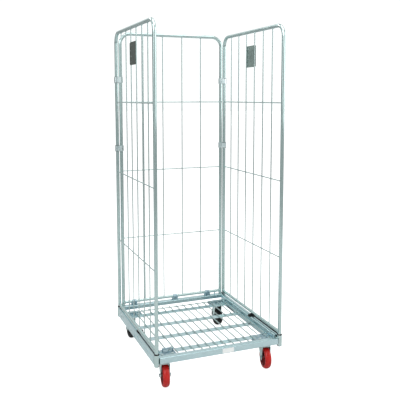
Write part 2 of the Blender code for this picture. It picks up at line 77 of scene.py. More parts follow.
NO_TURN = Matrix.Identity(4)
ALONG_X = Matrix.Rotation(math.pi / 2, 4, "Y")
PULLED_ALONG_X = Matrix(((0, 0, 1, 0), (1, 0, 0, 0), (0, 1, 0, 0), (0, 0, 0, 1)))
PULLED_ALONG_Y = Matrix(((1, 0, 0, 0), (0, 0, 1, 0), (0, 1, 0, 0), (0, 0, 0, 1)))

REST_TURN = math.radians(-9.0)
EASED_ANGLE = math.radians(38)
SHARP_ANGLE = math.radians(42)
ON_AXIS = 1e-7


class Side(Enum):
    """Which side of the cage a piece stands on, seen from the open front."""

    LEFT = -1
    RIGHT = 1

    @property
    def word(self) -> str:
        """The side's name as the frame's nodes spell it."""
        return self.name.lower()


class End(Enum):
    """Which end of the base a piece stands at."""

    FRONT = -1
    REAR = 1

    @property
    def word(self) -> str:
        """The end's name as the frame's nodes spell it."""
        return self.name.lower()


class Stock(Enum):
    """The finishes that pieces are made in, each with the frame's material slot it belongs to."""

    TUBE = ("bright_zinc_tube", "zinc_steel")
    RAIL = ("rolled_zinc_rail", "zinc_sheet")
    CLIP = ("bright_zinc_clip", "zinc_sheet")
    SHEET = ("spangled_zinc_sheet", "zinc_sheet")
    WIRE = ("drawn_zinc_wire", "zinc_wire")
    WELD = ("zinc_coated_weld", "zinc_steel")
    FASTENER = ("passivated_fastener", "zinc_steel")
    SIGN = ("grey_green_sign_sheet", "sign_sheet")
    BACKING = ("bare_sign_backing", "sign_sheet")
    PLASTIC = ("black_moulded_plastic", "black_plastic")
    RUBBER = ("black_wheel_rubber", "black_rubber")
    TREAD = ("red_polyurethane_tread", "red_polyurethane")
    CORE = ("red_moulded_core", "red_core")
    LABEL = ("white_blank_label", "white_label")


# ---- finishes ----------------------------------------------------------------------------
def fill_ramp(ramp: bpy.types.ColorRamp, stops: Stops) -> None:
    """Fills a colour ramp that starts with fewer stops.

    Args:
        ramp: The ramp.
        stops: Positions from 0 to 1, with their linear colours.
    """
    while len(ramp.elements) < len(stops):
        ramp.elements.new(0.5)
    for element, (position, colour) in zip(ramp.elements, stops):
        element.position = position
        element.color = (*colour, 1.0)


class Graph:
    """A material's node tree, with the few wiring moves that all finishes share."""

    def __init__(self, name: str) -> None:
        """Starts a material with its Principled shader.

        Args:
            name: The material's name.
        """
        self.material = bpy.data.materials.new(name)
        self.material.use_nodes = True
        self.tree = self.material.node_tree
        self.shader = self.tree.nodes["Principled BSDF"]

    def node(self, kind: str, **settings: object) -> bpy.types.Node:
        """Adds a node and sets its plain properties.

        Args:
            kind: The node's type name.
            settings: Property values to set on it.

        Returns:
            The new node.
        """
        made = self.tree.nodes.new(kind)
        for key, value in settings.items():
            setattr(made, key, value)
        return made

    def wire(self, source: bpy.types.NodeSocket, target: bpy.types.NodeSocket) -> None:
        """Links one socket to another."""
        self.tree.links.new(source, target)

    def fix(self, **sockets: float | tuple[float, ...]) -> None:
        """Sets values that are the same all over the surface, by socket name with _ for a space.

        Args:
            sockets: Shader socket names and their constant values.
        """
        for key, value in sockets.items():
            self.shader.inputs[key.replace("_", " ")].default_value = value

    def coordinates(self, stretch: tuple[float, float, float]) -> bpy.types.NodeSocket:
        """The piece's own coordinates, stretched along its axes.

        Args:
            stretch: Scale on each axis; a small value draws the pattern out along that axis.

        Returns:
            The vector socket.
        """
        own = self.node("ShaderNodeTexCoord")
        mapping = self.node("ShaderNodeMapping")
        mapping.inputs["Scale"].default_value = stretch
        self.wire(own.outputs["Object"], mapping.inputs["Vector"])
        return mapping.outputs["Vector"]

    def noise(
        self, per_metre: float, detail: float = 3.0, stretch: tuple[float, float, float] = (1, 1, 1)
    ) -> bpy.types.NodeSocket:
        """A soft cloudy pattern.

        Args:
            per_metre: How many clouds fit in a metre.
            detail: How many finer layers are added.
            stretch: Scale on each axis.

        Returns:
            The pattern's value socket.
        """
        made = self.node("ShaderNodeTexNoise")
        made.inputs["Scale"].default_value = per_metre
        made.inputs["Detail"].default_value = detail
        self.wire(self.coordinates(stretch), made.inputs["Vector"])
        return made.outputs["Fac"]

    def crystals(self, per_metre: float) -> bpy.types.NodeSocket:
        """A value of its own for each zinc crystal.

        Args:
            per_metre: How many crystals fit in a metre.

        Returns:
            The value socket.
        """
        made = self.node("ShaderNodeTexVoronoi")
        made.inputs["Scale"].default_value = per_metre
        made.inputs["Randomness"].default_value = 1.0
        self.wire(self.coordinates((1, 1, 1)), made.inputs["Vector"])
        parts = self.node("ShaderNodeSeparateColor")
        self.wire(made.outputs["Color"], parts.inputs["Color"])
        return parts.outputs["Red"]

    def blend(
        self, first: bpy.types.NodeSocket, second: bpy.types.NodeSocket, share: float
    ) -> bpy.types.NodeSocket:
        """Mixes two values.

        Args:
            first: The value at share 0.
            second: The value at share 1.
            share: How much of the second value is taken.

        Returns:
            The mixed value socket.
        """
        made = self.node("ShaderNodeMix", data_type="FLOAT")
        made.inputs[0].default_value = share
        self.wire(first, made.inputs[2])
        self.wire(second, made.inputs[3])
        return made.outputs[0]

    def colours(self, value: bpy.types.NodeSocket, stops: Stops) -> None:
        """Colours the surface by a value, through a ramp.

        Args:
            value: The value that drives the ramp.
            stops: Positions from 0 to 1, with their linear colours.
        """
        ramp = self.node("ShaderNodeValToRGB")
        fill_ramp(ramp.color_ramp, stops)
        self.wire(value, ramp.inputs["Fac"])
        self.wire(ramp.outputs["Color"], self.shader.inputs["Base Color"])

    def roughness(self, value: bpy.types.NodeSocket, smooth: float, dull: float) -> None:
        """Varies the roughness with a value.

        Args:
            value: The value that drives it, mostly between 0.25 and 0.75.
            smooth: Roughness at the low end.
            dull: Roughness at the high end.
        """
        made = self.node("ShaderNodeMapRange")
        made.inputs["From Min"].default_value = 0.25
        made.inputs["From Max"].default_value = 0.75
        made.inputs["To Min"].default_value = smooth
        made.inputs["To Max"].default_value = dull
        self.wire(value, made.inputs["Value"])
        self.wire(made.outputs["Result"], self.shader.inputs["Roughness"])

    def bump(self, height: bpy.types.NodeSocket, strength: float, depth: float) -> None:
        """Raises the surface by a value.

        Args:
            height: The value to raise by.
            strength: How much of it shows.
            depth: The height in metres of a full step.
        """
        made = self.node("ShaderNodeBump")
        made.inputs["Strength"].default_value = strength
        made.inputs["Distance"].default_value = depth
        self.wire(height, made.inputs["Height"])
        self.wire(made.outputs["Normal"], self.shader.inputs["Normal"])


@dataclass(frozen=True)
class Zinc:
    """Zinc on steel: crystals of slightly different brightness under a cloudy haze."""

    light: Colour
    middle: Colour
    dark: Colour
    smooth: float
    dull: float
    crystals_per_metre: float
    crystal_share: float
    grain: tuple[float, float, float] = (1.0, 1.0, 1.0)
    relief: float = 0.05

    def make(self, name: str) -> bpy.types.Material:
        """Builds the material.

        Args:
            name: The material's name.

        Returns:
            The material.
        """
        graph = Graph(name)
        haze = graph.noise(14.0, 4.0, self.grain)
        mottle = graph.blend(haze, graph.crystals(self.crystals_per_metre), self.crystal_share)
        graph.colours(mottle, ((0.22, self.dark), (0.5, self.middle), (0.8, self.light)))
        fine = graph.noise(420.0, 2.0, self.grain)
        graph.roughness(graph.blend(mottle, fine, 0.35), self.smooth, self.dull)
        graph.bump(graph.blend(mottle, fine, 0.6), self.relief, 0.0004)
        graph.fix(Metallic=0.96, IOR=1.5)
        return graph.material


@dataclass(frozen=True)
class Polymer:
    """Rubber, plastic or polyurethane: a body colour with scuffs and a fine moulded grain."""

    body: Colour
    shade: Colour
    scuff: Colour
    smooth: float
    dull: float
    coat: float = 0.0
    grain_per_metre: float = 900.0
    relief: float = 0.15

    def make(self, name: str) -> bpy.types.Material:
        """Builds the material.

        Args:
            name: The material's name.

        Returns:
            The material.
        """
        graph = Graph(name)
        wear = graph.noise(60.0, 6.0)
        graph.colours(wear, ((0.30, self.shade), (0.52, self.body), (0.66, self.body), (0.85, self.scuff)))
        graph.roughness(wear, self.smooth, self.dull)
        graph.bump(graph.blend(wear, graph.noise(self.grain_per_metre, 2.0), 0.7), self.relief, 0.0003)
        graph.fix(Metallic=0.0, Specular_IOR_Level=0.3, Coat_Weight=self.coat, Coat_Roughness=0.12)
        return graph.material


@dataclass(frozen=True)
class CoatedSheet:
    """Painted or printed sheet: an even colour with faint rubbing and a light orange-peel."""

    body: Colour
    worn: Colour
    metallic: float
    smooth: float
    dull: float

    def make(self, name: str) -> bpy.types.Material:
        """Builds the material.

        Args:
            name: The material's name.

        Returns:
            The material.
        """
        graph = Graph(name)
        rubbing = graph.noise(38.0, 6.0, (1.0, 1.0, 0.35))
        graph.colours(rubbing, ((0.35, self.body), (0.62, self.body), (0.85, self.worn)))
        graph.roughness(rubbing, self.smooth, self.dull)
        graph.bump(graph.noise(700.0, 2.0), 0.10, 0.0002)
        graph.fix(Metallic=self.metallic)
        return graph.material


FINISHES: dict[Stock, Zinc | Polymer | CoatedSheet] = {
    Stock.TUBE: Zinc((0.64, 0.77, 0.76), (0.56, 0.69, 0.68), (0.46, 0.59, 0.59), 0.12, 0.20, 40.0, 0.10,
                     (1.0, 1.0, 0.12), 0.03),
    Stock.RAIL: Zinc((0.59, 0.75, 0.78), (0.55, 0.71, 0.74), (0.50, 0.66, 0.69), 0.20, 0.27, 90.0, 0.12,
                     (1.0, 0.3, 1.0), 0.03),
    Stock.CLIP: Zinc((0.80, 0.90, 0.91), (0.72, 0.83, 0.84), (0.58, 0.70, 0.72), 0.20, 0.32, 90.0, 0.2),
    Stock.SHEET: Zinc((0.50, 0.64, 0.70), (0.36, 0.50, 0.56), (0.24, 0.36, 0.42), 0.16, 0.32, 120.0, 0.45,
                      relief=0.06),
    Stock.WIRE: Zinc((0.60, 0.70, 0.69), (0.51, 0.61, 0.60), (0.41, 0.51, 0.51), 0.18, 0.28, 80.0, 0.15,
                     (1.0, 1.0, 0.2), 0.04),
    Stock.WELD: Zinc((0.58, 0.72, 0.73), (0.48, 0.62, 0.63), (0.34, 0.46, 0.47), 0.30, 0.48, 260.0, 0.4,
                     relief=0.3),
    Stock.FASTENER: Zinc((0.78, 0.86, 0.86), (0.68, 0.77, 0.77), (0.50, 0.60, 0.60), 0.14, 0.26, 160.0, 0.3,
                         relief=0.05),
    Stock.SIGN: CoatedSheet((0.062, 0.075, 0.064), (0.13, 0.15, 0.135), 0.2, 0.40, 0.55),
    Stock.BACKING: Zinc((0.46, 0.56, 0.53), (0.38, 0.48, 0.45), (0.28, 0.36, 0.34), 0.34, 0.50, 150.0, 0.3),
    Stock.PLASTIC: Polymer((0.008, 0.008, 0.009), (0.005, 0.005, 0.006), (0.028, 0.028, 0.03), 0.34, 0.50),
    Stock.RUBBER: Polymer((0.006, 0.006, 0.007), (0.004, 0.004, 0.005), (0.022, 0.021, 0.021), 0.42, 0.60),
    Stock.TREAD: Polymer((0.50, 0.012, 0.009), (0.40, 0.008, 0.006), (0.54, 0.03, 0.02), 0.24, 0.36, 0.10,
                         relief=0.06),
    Stock.CORE: Polymer((0.17, 0.006, 0.006), (0.10, 0.004, 0.004), (0.24, 0.02, 0.016), 0.32, 0.48, 0.08),
    Stock.LABEL: CoatedSheet((0.86, 0.88, 0.87), (0.70, 0.73, 0.72), 0.0, 0.34, 0.5),
}


# ---- outlines and solids -----------------------------------------------------------------
def arc(centre: Flat, radius: float, start: float, end: float, steps: int) -> list[Flat]:
    """Points along an arc.

    Args:
        centre: The arc's centre.
        radius: Its radius.
        start: Its first angle, in degrees.
        end: Its last angle, in degrees.
        steps: How many chords it is cut into.

    Returns:
        The points, both ends included.
    """
    turns = [math.radians(start + (end - start) * k / steps) for k in range(steps + 1)]
    return [(centre[0] + radius * math.cos(a), centre[1] + radius * math.sin(a)) for a in turns]


def soften(outline: Sequence[Flat], radius: float, steps: int = 4) -> list[Flat]:
    """Rounds every corner of a closed outline.

    Args:
        outline: The corner points, in order.
        radius: How far back from each corner the rounding starts.
        steps: How many chords each rounding has.

    Returns:
        The rounded outline.
    """
    made: list[Flat] = []
    count = len(outline)
    for k, corner in enumerate(outline):
        here = Vector(corner)
        before = Vector(outline[k - 1]) - here
        after = Vector(outline[(k + 1) % count]) - here
        start = here + before.normalized() * min(radius, before.length * 0.45)
        end = here + after.normalized() * min(radius, after.length * 0.45)
        for step in range(steps + 1):
            t = step / steps
            point = start * (1 - t) ** 2 + here * (2 * t * (1 - t)) + end * t**2
            made.append((point.x, point.y))
    return made


def rectangle(x_range: Flat, y_range: Flat) -> list[Flat]:
    """The four corners of a rectangle, anticlockwise."""
    return [
        (x_range[0], y_range[0]),
        (x_range[1], y_range[0]),
        (x_range[1], y_range[1]),
        (x_range[0], y_range[1]),
    ]


def skin(bm: bmesh.types.BMesh, near: list, far: list) -> None:
    """Joins two rings of points with faces; a ring of one point makes a fan.

    Args:
        bm: The mesh to add to.
        near: The first ring.
        far: The second ring.
    """
    count = max(len(near), len(far))
    for k in range(count):
        corners = [near[k % len(near)], near[(k + 1) % len(near)], far[(k + 1) % len(far)], far[k % len(far)]]
        unique = list(dict.fromkeys(corners))
        if len(unique) > 2:
            bm.faces.new(unique)


def lathe(
    bm: bmesh.types.BMesh,
    section: Sequence[Flat],
    place: Matrix = NO_TURN,
    segments: int = 40,
    closed: bool = False,
) -> None:
    """Turns a section of (radius, height) points about its own axis.

    Args:
        bm: The mesh to add to.
        section: The points, starting and ending on the axis unless closed.
        place: Where the axis stands.
        segments: How many sides the turned shape has.
        closed: True where the section is a loop clear of the axis.
    """
    rings = []
    turns = [2 * math.pi * k / segments for k in range(segments)]
    for radius, height in section:
        if radius < ON_AXIS:
            points = [Vector((0, 0, height))]
        else:
            points = [Vector((radius * math.cos(a), radius * math.sin(a), height)) for a in turns]
        rings.append([bm.verts.new(place @ point) for point in points])
    following = rings[1:] + (rings[:1] if closed else [])
    for near, far in zip(rings, following):
        skin(bm, near, far)


def bar(bm: bmesh.types.BMesh, start: Vector, end: Vector, radius: float, sides: int = 16) -> None:
    """A straight round bar with eased ends.

    Args:
        bm: The mesh to add to.
        start: Centre of one end.
        end: Centre of the other end.
        radius: The bar's radius.
        sides: How many sides it has.
    """
    along = end - start
    ease = radius * 0.25
    place = Matrix.Translation(start) @ along.to_track_quat("Z", "Y").to_matrix().to_4x4()
    length = along.length
    section = [(0, 0), (radius - ease, 0), (radius, ease), (radius, length - ease), (radius - ease, length)]
    lathe(bm, section + [(0, length)], place, sides)


def sweep(
    bm: bmesh.types.BMesh,
    path: Sequence[Vector],
    normal: Vector,
    radius: float,
    bore: float = 0.0,
    sides: int = 28,
) -> None:
    """A round tube along a path that lies in one plane.

    Args:
        bm: The mesh to add to.
        path: The centreline.
        normal: The normal of the path's plane.
        radius: The outer radius.
        bore: The inner radius, or 0 for a solid bar with flat ends.
        sides: How many sides it has.
    """
    skins: dict[float, list] = {size: [] for size in (radius, bore) if size > 0}
    turns = [2 * math.pi * j / sides for j in range(sides)]
    for k, point in enumerate(path):
        before = (point - path[k - 1]).normalized() if k else None
        after = (path[k + 1] - point).normalized() if k + 1 < len(path) else None
        along = ((before or after) + (after or before)).normalized()
        across = along.cross(normal)
        for size, rings in skins.items():
            offsets = [across * (math.cos(a) * size) + normal * (math.sin(a) * size) for a in turns]
            rings.append([bm.verts.new(point + offset) for offset in offsets])
    for rings in skins.values():
        for near, far in zip(rings, rings[1:]):
            skin(bm, near, far)
    for end in (0, -1):
        if bore > 0:
            skin(bm, skins[radius][end], skins[bore][end])
        else:
            bm.faces.new(skins[radius][end])


def prism(bm: bmesh.types.BMesh, outline: Sequence[Flat], low: float, high: float, place: Matrix) -> None:
    """An outline pulled up along its own Z.

    Args:
        bm: The mesh to add to.
        outline: The closed outline.
        low: Where the prism starts along Z.
        high: Where it ends.
        place: Where its own axes stand.
    """
    rings = [[bm.verts.new(place @ Vector((x, y, z))) for x, y in outline] for z in (low, high)]
    skin(bm, rings[0], rings[1])
    bm.faces.new(list(reversed(rings[0])))
    bm.faces.new(rings[1])


def channel(
    bm: bmesh.types.BMesh,
    outer: Sequence[Flat],
    inner: Sequence[Flat],
    low: float,
    high: float,
    place: Matrix,
) -> None:
    """A hollow section with open ends, between two outlines of the same number of points.

    Args:
        bm: The mesh to add to.
        outer: The outer outline.
        inner: The inner outline, matched point for point.
        low: Where the section starts along its Z.
        high: Where it ends.
        place: Where its own axes stand.
    """
    rings = [
        [bm.verts.new(place @ Vector((x, y, z))) for x, y in outline]
        for outline, z in ((outer, low), (outer, high), (inner, high), (inner, low))
    ]
    for near, far in zip(rings, rings[1:] + rings[:1]):
        skin(bm, near, far)


def blob(
    bm: bmesh.types.BMesh, centre: Vector, size: tuple[float, float, float], place: Matrix = NO_TURN
) -> None:
    """A small rounded nugget, such as a spot weld's.

    Args:
        bm: The mesh to add to.
        centre: Its centre.
        size: Its three radii.
        place: A turn of its own axes.
    """
    shape = Matrix.Translation(centre) @ place @ Matrix.Diagonal((*size, 1.0))
    bmesh.ops.create_uvsphere(bm, u_segments=12, v_segments=7, radius=1.0, matrix=shape)


def weld_bead(bm: bmesh.types.BMesh, start: Vector, end: Vector, radius: float) -> None:
    """A run of overlapping weld ripples between two points.

    Args:
        bm: The mesh to add to.
        start: Where the run begins.
        end: Where it ends.
        radius: Half the bead's width.
    """
    along = end - start
    count = max(2, round(along.length / (radius * 0.9)))
    turn = along.to_track_quat("Z", "Y").to_matrix().to_4x4()
    for k in range(count + 1):
        swell = 1.0 + 0.10 * math.sin(2.4 * k)
        centre = start + along * (k / count)
        blob(bm, centre, (radius * swell, radius * swell, radius * 0.75), turn)


def hex_head(bm: bmesh.types.BMesh, place: Matrix, radius: float, height: float) -> None:
    """A hexagon head with a chamfered crown, on a round washer. It rises along its own Z.

    Args:
        bm: The mesh to add to.
        place: Where its seat is.
        radius: From the axis to a corner.
        height: From the seat to the crown, washer included.
    """
    washer = height * 0.22
    rim = radius * 1.28
    lathe(bm, [(0, 0), (rim, 0), (rim, washer * 0.8), (rim * 0.95, washer), (0, washer)], place, 28)
    crown = [(0, washer), (radius, washer), (radius, height * 0.84), (radius * 0.86, height), (0, height)]
    lathe(bm, crown, place, 6)


class Workshop:
    """Makes pieces: shades each mesh, dresses it, rides it on its body and reports it."""

    def __init__(self) -> None:
        """Builds the palette once."""
        self.palette = {stock: finish.make(stock.value[0]) for stock, finish in FINISHES.items()}

    def piece(
        self,
        name: str,
        bm: bmesh.types.BMesh,
        stock: Stock,
        body: str,
        stands_for: Iterable[str] = (),
        ease: float = 0.0,
    ) -> bpy.types.Object:
        """Turns a mesh into a finished piece.

        Args:
            name: The piece's name.
            bm: Its mesh, which is used up.
            stock: Its finish.
            body: The frame's body that it moves with.
            stands_for: The frame's nodes that it takes the place of.
            ease: Width of the rounding on its sharp edges, or 0 for none.

        Returns:
            The piece.
        """
        bmesh.ops.recalc_face_normals(bm, faces=bm.faces)
        mesh = bpy.data.meshes.new(name)
        bm.to_mesh(mesh)
        bm.free()
        mesh.shade_smooth()
        mesh.materials.append(self.palette[stock])
        made = bpy.data.objects.new(name, mesh)
        bpy.context.scene.collection.objects.link(made)
        if ease > 0:
            rounding = made.modifiers.new("eased_edges", "BEVEL")
            rounding.width = ease
            rounding.segments = 2
            rounding.limit_method = "ANGLE"
            rounding.angle_limit = EASED_ANGLE
            rounding.harden_normals = True
        else:
            mesh.set_sharp_from_angle(angle=SHARP_ANGLE)
        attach(made, body)
        nodes = list(stands_for)
        if nodes:
            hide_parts(*nodes)
        LOG.info("%s: %s on %s, %d faces", name, stock.value[0], body, len(mesh.polygons))
        return made

    @staticmethod
    def carve(made: bpy.types.Object, tool: bmesh.types.BMesh, operation: str = "DIFFERENCE") -> None:
        """Cuts, joins or trims a piece with a tool body, for good.

        Args:
            made: The piece.
            tool: The tool's mesh, which is used up.
            operation: The Boolean operation.
        """
        bmesh.ops.recalc_face_normals(tool, faces=tool.faces)
        mesh = bpy.data.meshes.new("tool")
        tool.to_mesh(mesh)
        tool.free()
        cutter = bpy.data.objects.new("tool", mesh)
        bpy.context.scene.collection.objects.link(cutter)
        cut = made.modifiers.new("cut", "BOOLEAN")
        cut.operation = operation
        cut.object = cutter
        while made.modifiers[0] != cut:
            made.modifiers.move(len(made.modifiers) - 1, 0)
        others = [m for m in made.modifiers if m != cut]
        for other in others:
            other.show_viewport = False
        graph = bpy.context.evaluated_depsgraph_get()
        carved = bpy.data.meshes.new_from_object(made.evaluated_get(graph))
        carved.name = made.name
        made.modifiers.remove(cut)
        made.data = carved
        for other in others:
            other.show_viewport = True
        if not others:
            carved.shade_smooth()
            carved.set_sharp_from_angle(angle=SHARP_ANGLE)
        bpy.data.objects.remove(cutter)


# ---- panels ------------------------------------------------------------------------------
@dataclass
class WirePanel:
    """A bent tube hoop with a bottom tube, filled with welded wires."""

    prefix: str
    body: str
    across: Vector
    outward: Vector
    wire_places: tuple[float, ...]
    cross_heights: tuple[float, ...] = (0.565, 0.944, 1.323)
    bend_radius: float = 0.055
    bend_steps: int = 16
    wall: float = 0.0015
    wire_radius: float = 0.0028
    wire_layer: float = 0.0024
    fillet: tuple[Flat, ...] = ((0.9, -0.0016), (1.16, -0.0014), (1.22, 0.0006), (0.9, 0.0018))

    def __post_init__(self) -> None:
        """Reads the panel's plane, span and heights off the frame."""
        low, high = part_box(f"{self.prefix}_hoop")
        tube_low, tube_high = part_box(f"{self.prefix}_bottom_tube")
        span = high - low
        middle = (high + low) / 2
        self.tube_radius = abs(span.dot(self.outward)) / 2
        self.half_span = abs(span.dot(self.across)) / 2 - self.tube_radius
        self.centre = Vector((middle.x, middle.y, 0.0))
        self.foot = low.z
        self.top = high.z - self.tube_radius
        self.bottom_radius = (tube_high.z - tube_low.z) / 2
        self.bottom = (tube_high.z + tube_low.z) / 2

    def at(self, across: float, up: float, outward: float = 0.0) -> Vector:
        """A point of the panel, by its own across, up and outward distances."""
        return self.centre + self.across * across + self.outward * outward + Vector((0, 0, up))

    def hoop(self, shop: Workshop) -> None:
        """The bent outer tube."""
        inner = self.half_span - self.bend_radius
        bend = self.top - self.bend_radius
        line = [(-self.half_span, self.foot)]
        line += arc((-inner, bend), self.bend_radius, 180, 90, self.bend_steps)
        line += arc((inner, bend), self.bend_radius, 90, 0, self.bend_steps)
        line.append((self.half_span, self.foot))
        bm = bmesh.new()
        path = [self.at(x, z) for x, z in line]
        sweep(bm, path, self.outward, self.tube_radius, self.tube_radius - self.wall)
        shop.piece(f"{self.prefix}_bent_tube", bm, Stock.TUBE, self.body, [f"{self.prefix}_hoop"])

    def bottom_tube(self, shop: Workshop) -> None:
        """The straight tube between the uprights."""
        bm = bmesh.new()
        reach = self.half_span - self.tube_radius * 0.96
        path = [self.at(-reach, self.bottom), self.at(reach, self.bottom)]
        sweep(bm, path, self.outward, self.bottom_radius, self.bottom_radius - self.wall)
        name = f"{self.prefix}_bottom_tube"
        shop.piece(f"{self.prefix}_lower_tube", bm, Stock.TUBE, self.body, [name])

    def wires(self, shop: Workshop) -> None:
        """Upright wires on the inner layer, cross wires on the outer one."""
        bm = bmesh.new()
        low = self.bottom + self.bottom_radius * 0.98
        high = self.top - self.tube_radius * 0.98
        for place in self.wire_places:
            ends = [self.at(place, z, -self.wire_layer) for z in (low, high)]
            bar(bm, ends[0], ends[1], self.wire_radius)
        reach = self.half_span - self.tube_radius * 0.98
        for height in self.cross_heights:
            ends = [self.at(x, height, self.wire_layer) for x in (-reach, reach)]
            bar(bm, ends[0], ends[1], self.wire_radius)
        shop.piece(f"{self.prefix}_mesh", bm, Stock.WIRE, self.body, [f"{self.prefix}_wires"])

    def welds(self, shop: Workshop) -> None:
        """Spot welds where wires cross, and small fillets where they meet the tubes."""
        bm = bmesh.new()
        spot = self.wire_radius * 1.25
        low = self.bottom + self.bottom_radius
        high = self.top - self.tube_radius
        for place in self.wire_places:
            for z in (low, high):
                blob(bm, self.at(place, z, -self.wire_layer), (spot * 1.15, spot * 1.15, spot * 0.8))
            for height in self.cross_heights:
                blob(bm, self.at(place, height), (spot * 0.95, spot * 0.95, spot * 0.95))
        reach = self.half_span - self.tube_radius
        for side in (-1, 1):
            for height in self.cross_heights:
                blob(bm, self.at(side * reach, height, self.wire_layer), (spot * 1.1, spot * 1.1, spot))
            joint = self.at(side * reach, self.bottom)
            turn = self.across.to_track_quat("Z", "Y").to_matrix().to_4x4()
            ring = [(self.bottom_radius * share, side * rise) for share, rise in self.fillet]
            lathe(bm, ring, Matrix.Translation(joint) @ turn, 28, closed=True)
        shop.piece(f"{self.prefix}_welds", bm, Stock.WELD, self.body)

    def build(self, shop: Workshop) -> None:
        """Makes the whole panel."""
        self.hoop(shop)
        self.bottom_tube(shop)
        self.wires(shop)
        self.welds(shop)


@dataclass
class SignPlate:
    """A blank plate between a side panel's two middle wires, with folded card rails and rivets."""

    side: Side
    corner: float = 0.004
    lip: float = 0.004
    lip_height: float = 0.0022
    rivet: float = 0.0026
    rivet_rise: float = 0.0009
    rivet_inset: float = 0.014
    rivet_shares: tuple[float, ...] = (0.14, 0.38, 0.62, 0.86)
    backing: float = 0.0004

    def build(self, shop: Workshop) -> None:
        """Makes the bare backing, the plate with its folded rails, and the rivets."""
        node = f"{self.side.word}_sign_plate"
        low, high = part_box(node)
        sign = self.side.value
        outline = soften(rectangle((low.y, high.y), (low.z, high.z)), self.corner)
        body = f"{self.side.word}_panel"
        inner, outer = (low.x, high.x) if sign > 0 else (high.x, low.x)
        split = inner + sign * self.backing
        backing = bmesh.new()
        prism(backing, outline, *sorted((inner, split)), PULLED_ALONG_X)
        shop.piece(f"{self.side.word}_sign_backing", backing, Stock.BACKING, body)
        bm = bmesh.new()
        prism(bm, outline, *sorted((split, outer)), PULLED_ALONG_X)
        for edge in (low.y, high.y):
            inward = 1 if edge == low.y else -1
            span = sorted((edge, edge + inward * self.lip))
            rail = rectangle((span[0], span[1]), (low.z + self.corner, high.z - self.corner))
            lift = sorted((outer, outer + sign * self.lip_height))
            prism(bm, soften(rail, 0.001, 2), *lift, PULLED_ALONG_X)
        shop.piece(f"{self.side.word}_sign", bm, Stock.SIGN, body, [node], ease=0.0003)
        rivets = bmesh.new()
        column = high.y - self.rivet_inset
        for share in self.rivet_shares:
            z = low.z + (high.z - low.z) * share
            for face in (low.x, high.x):
                blob(rivets, Vector((face, column, z)), (self.rivet_rise, self.rivet, self.rivet))
        shop.piece(f"{self.side.word}_sign_rivets", rivets, Stock.FASTENER, body)


@dataclass
class HingeRing:
    """A twin-eye clip that ties a side panel's rear upright to the back panel."""

    side: Side
    level: str
    eye_wall: float = 0.0016
    liner_inset: float = 0.0033
    liner_rim: float = 0.0006
    liner_rise: float = 0.0016

    def build(self, shop: Workshop) -> None:
        """Makes the clip with its two bores, and the guiding eye's plastic liner."""
        node = f"{self.side.word}_hinge_ring_{self.level}"
        low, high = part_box(node)
        sign = self.side.value
        radius = (high.y - low.y) / 2
        middle = (low + high) / 2
        guide = high.x - radius if sign > 0 else low.x + radius
        grip = low.x + radius if sign > 0 else high.x - radius
        inner, outer = min(grip, guide), max(grip, guide)
        outline = arc((outer, middle.y), radius, -90, 90, 18) + arc((inner, middle.y), radius, 90, 270, 18)
        bm = bmesh.new()
        prism(bm, outline, low.z, high.z, NO_TURN)
        clip = shop.piece(f"{node}_clip", bm, Stock.CLIP, "base", [node], ease=0.0008)
        holes = bmesh.new()
        bore = radius - self.eye_wall
        for x in (guide, grip):
            under, over = low.z - radius, high.z + radius
            drill = [(0, under), (bore, under), (bore, over), (0, over)]
            lathe(holes, drill, Matrix.Translation((x, middle.y, 0)), 36)
        shop.carve(clip, holes)
        liner = bmesh.new()
        tube = radius - self.liner_inset
        rim = radius - self.liner_rim
        for z, rise in ((low.z, -self.liner_rise), (high.z, self.liner_rise)):
            section = [(tube, z), (rim, z), (rim, z + rise), (tube, z + rise * 1.25)]
            lathe(liner, section, Matrix.Translation((guide, middle.y, 0)), 32, closed=True)
        shop.piece(f"{node}_liner", liner, Stock.PLASTIC, "base")


@dataclass
class TubeSaddle:
    """A bracket on the rear rail with a strap round the back panel's bottom tube."""

    place: str
    strap: float = 0.0018
    strap_half: float = 0.012
    clearance: float = 0.0002

    def build(self, shop: Workshop) -> None:
        """Makes the bracket with its strap."""
        node = f"back_saddle_{self.place}"
        low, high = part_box(node)
        middle = (low + high) / 2
        tube_low, tube_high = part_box("back_panel_bottom_tube")
        tube = (tube_high.z - tube_low.z) / 2
        axis_z = (tube_high.z + tube_low.z) / 2
        inner = tube + self.clearance
        outer = inner + self.strap
        ring = arc((middle.y, axis_z), outer, -20, 200, 20)
        hollow = arc((middle.y, axis_z), inner, 200, -20, 20)
        along = Matrix.Translation((middle.x, 0, 0)) @ PULLED_ALONG_X
        bm = bmesh.new()
        prism(bm, ring + hollow, -self.strap_half, self.strap_half, along)
        seat = [(high.y, low.z), (high.y, high.z), *arc((middle.y, axis_z), inner, -12, -168, 12)]
        seat += [(low.y, high.z), (low.y, low.z)]
        half = (high.x - low.x) / 2
        prism(bm, seat, -half, half, along)
        shop.piece(f"{node}_bracket", bm, Stock.SHEET, "base", [node], ease=0.0004)


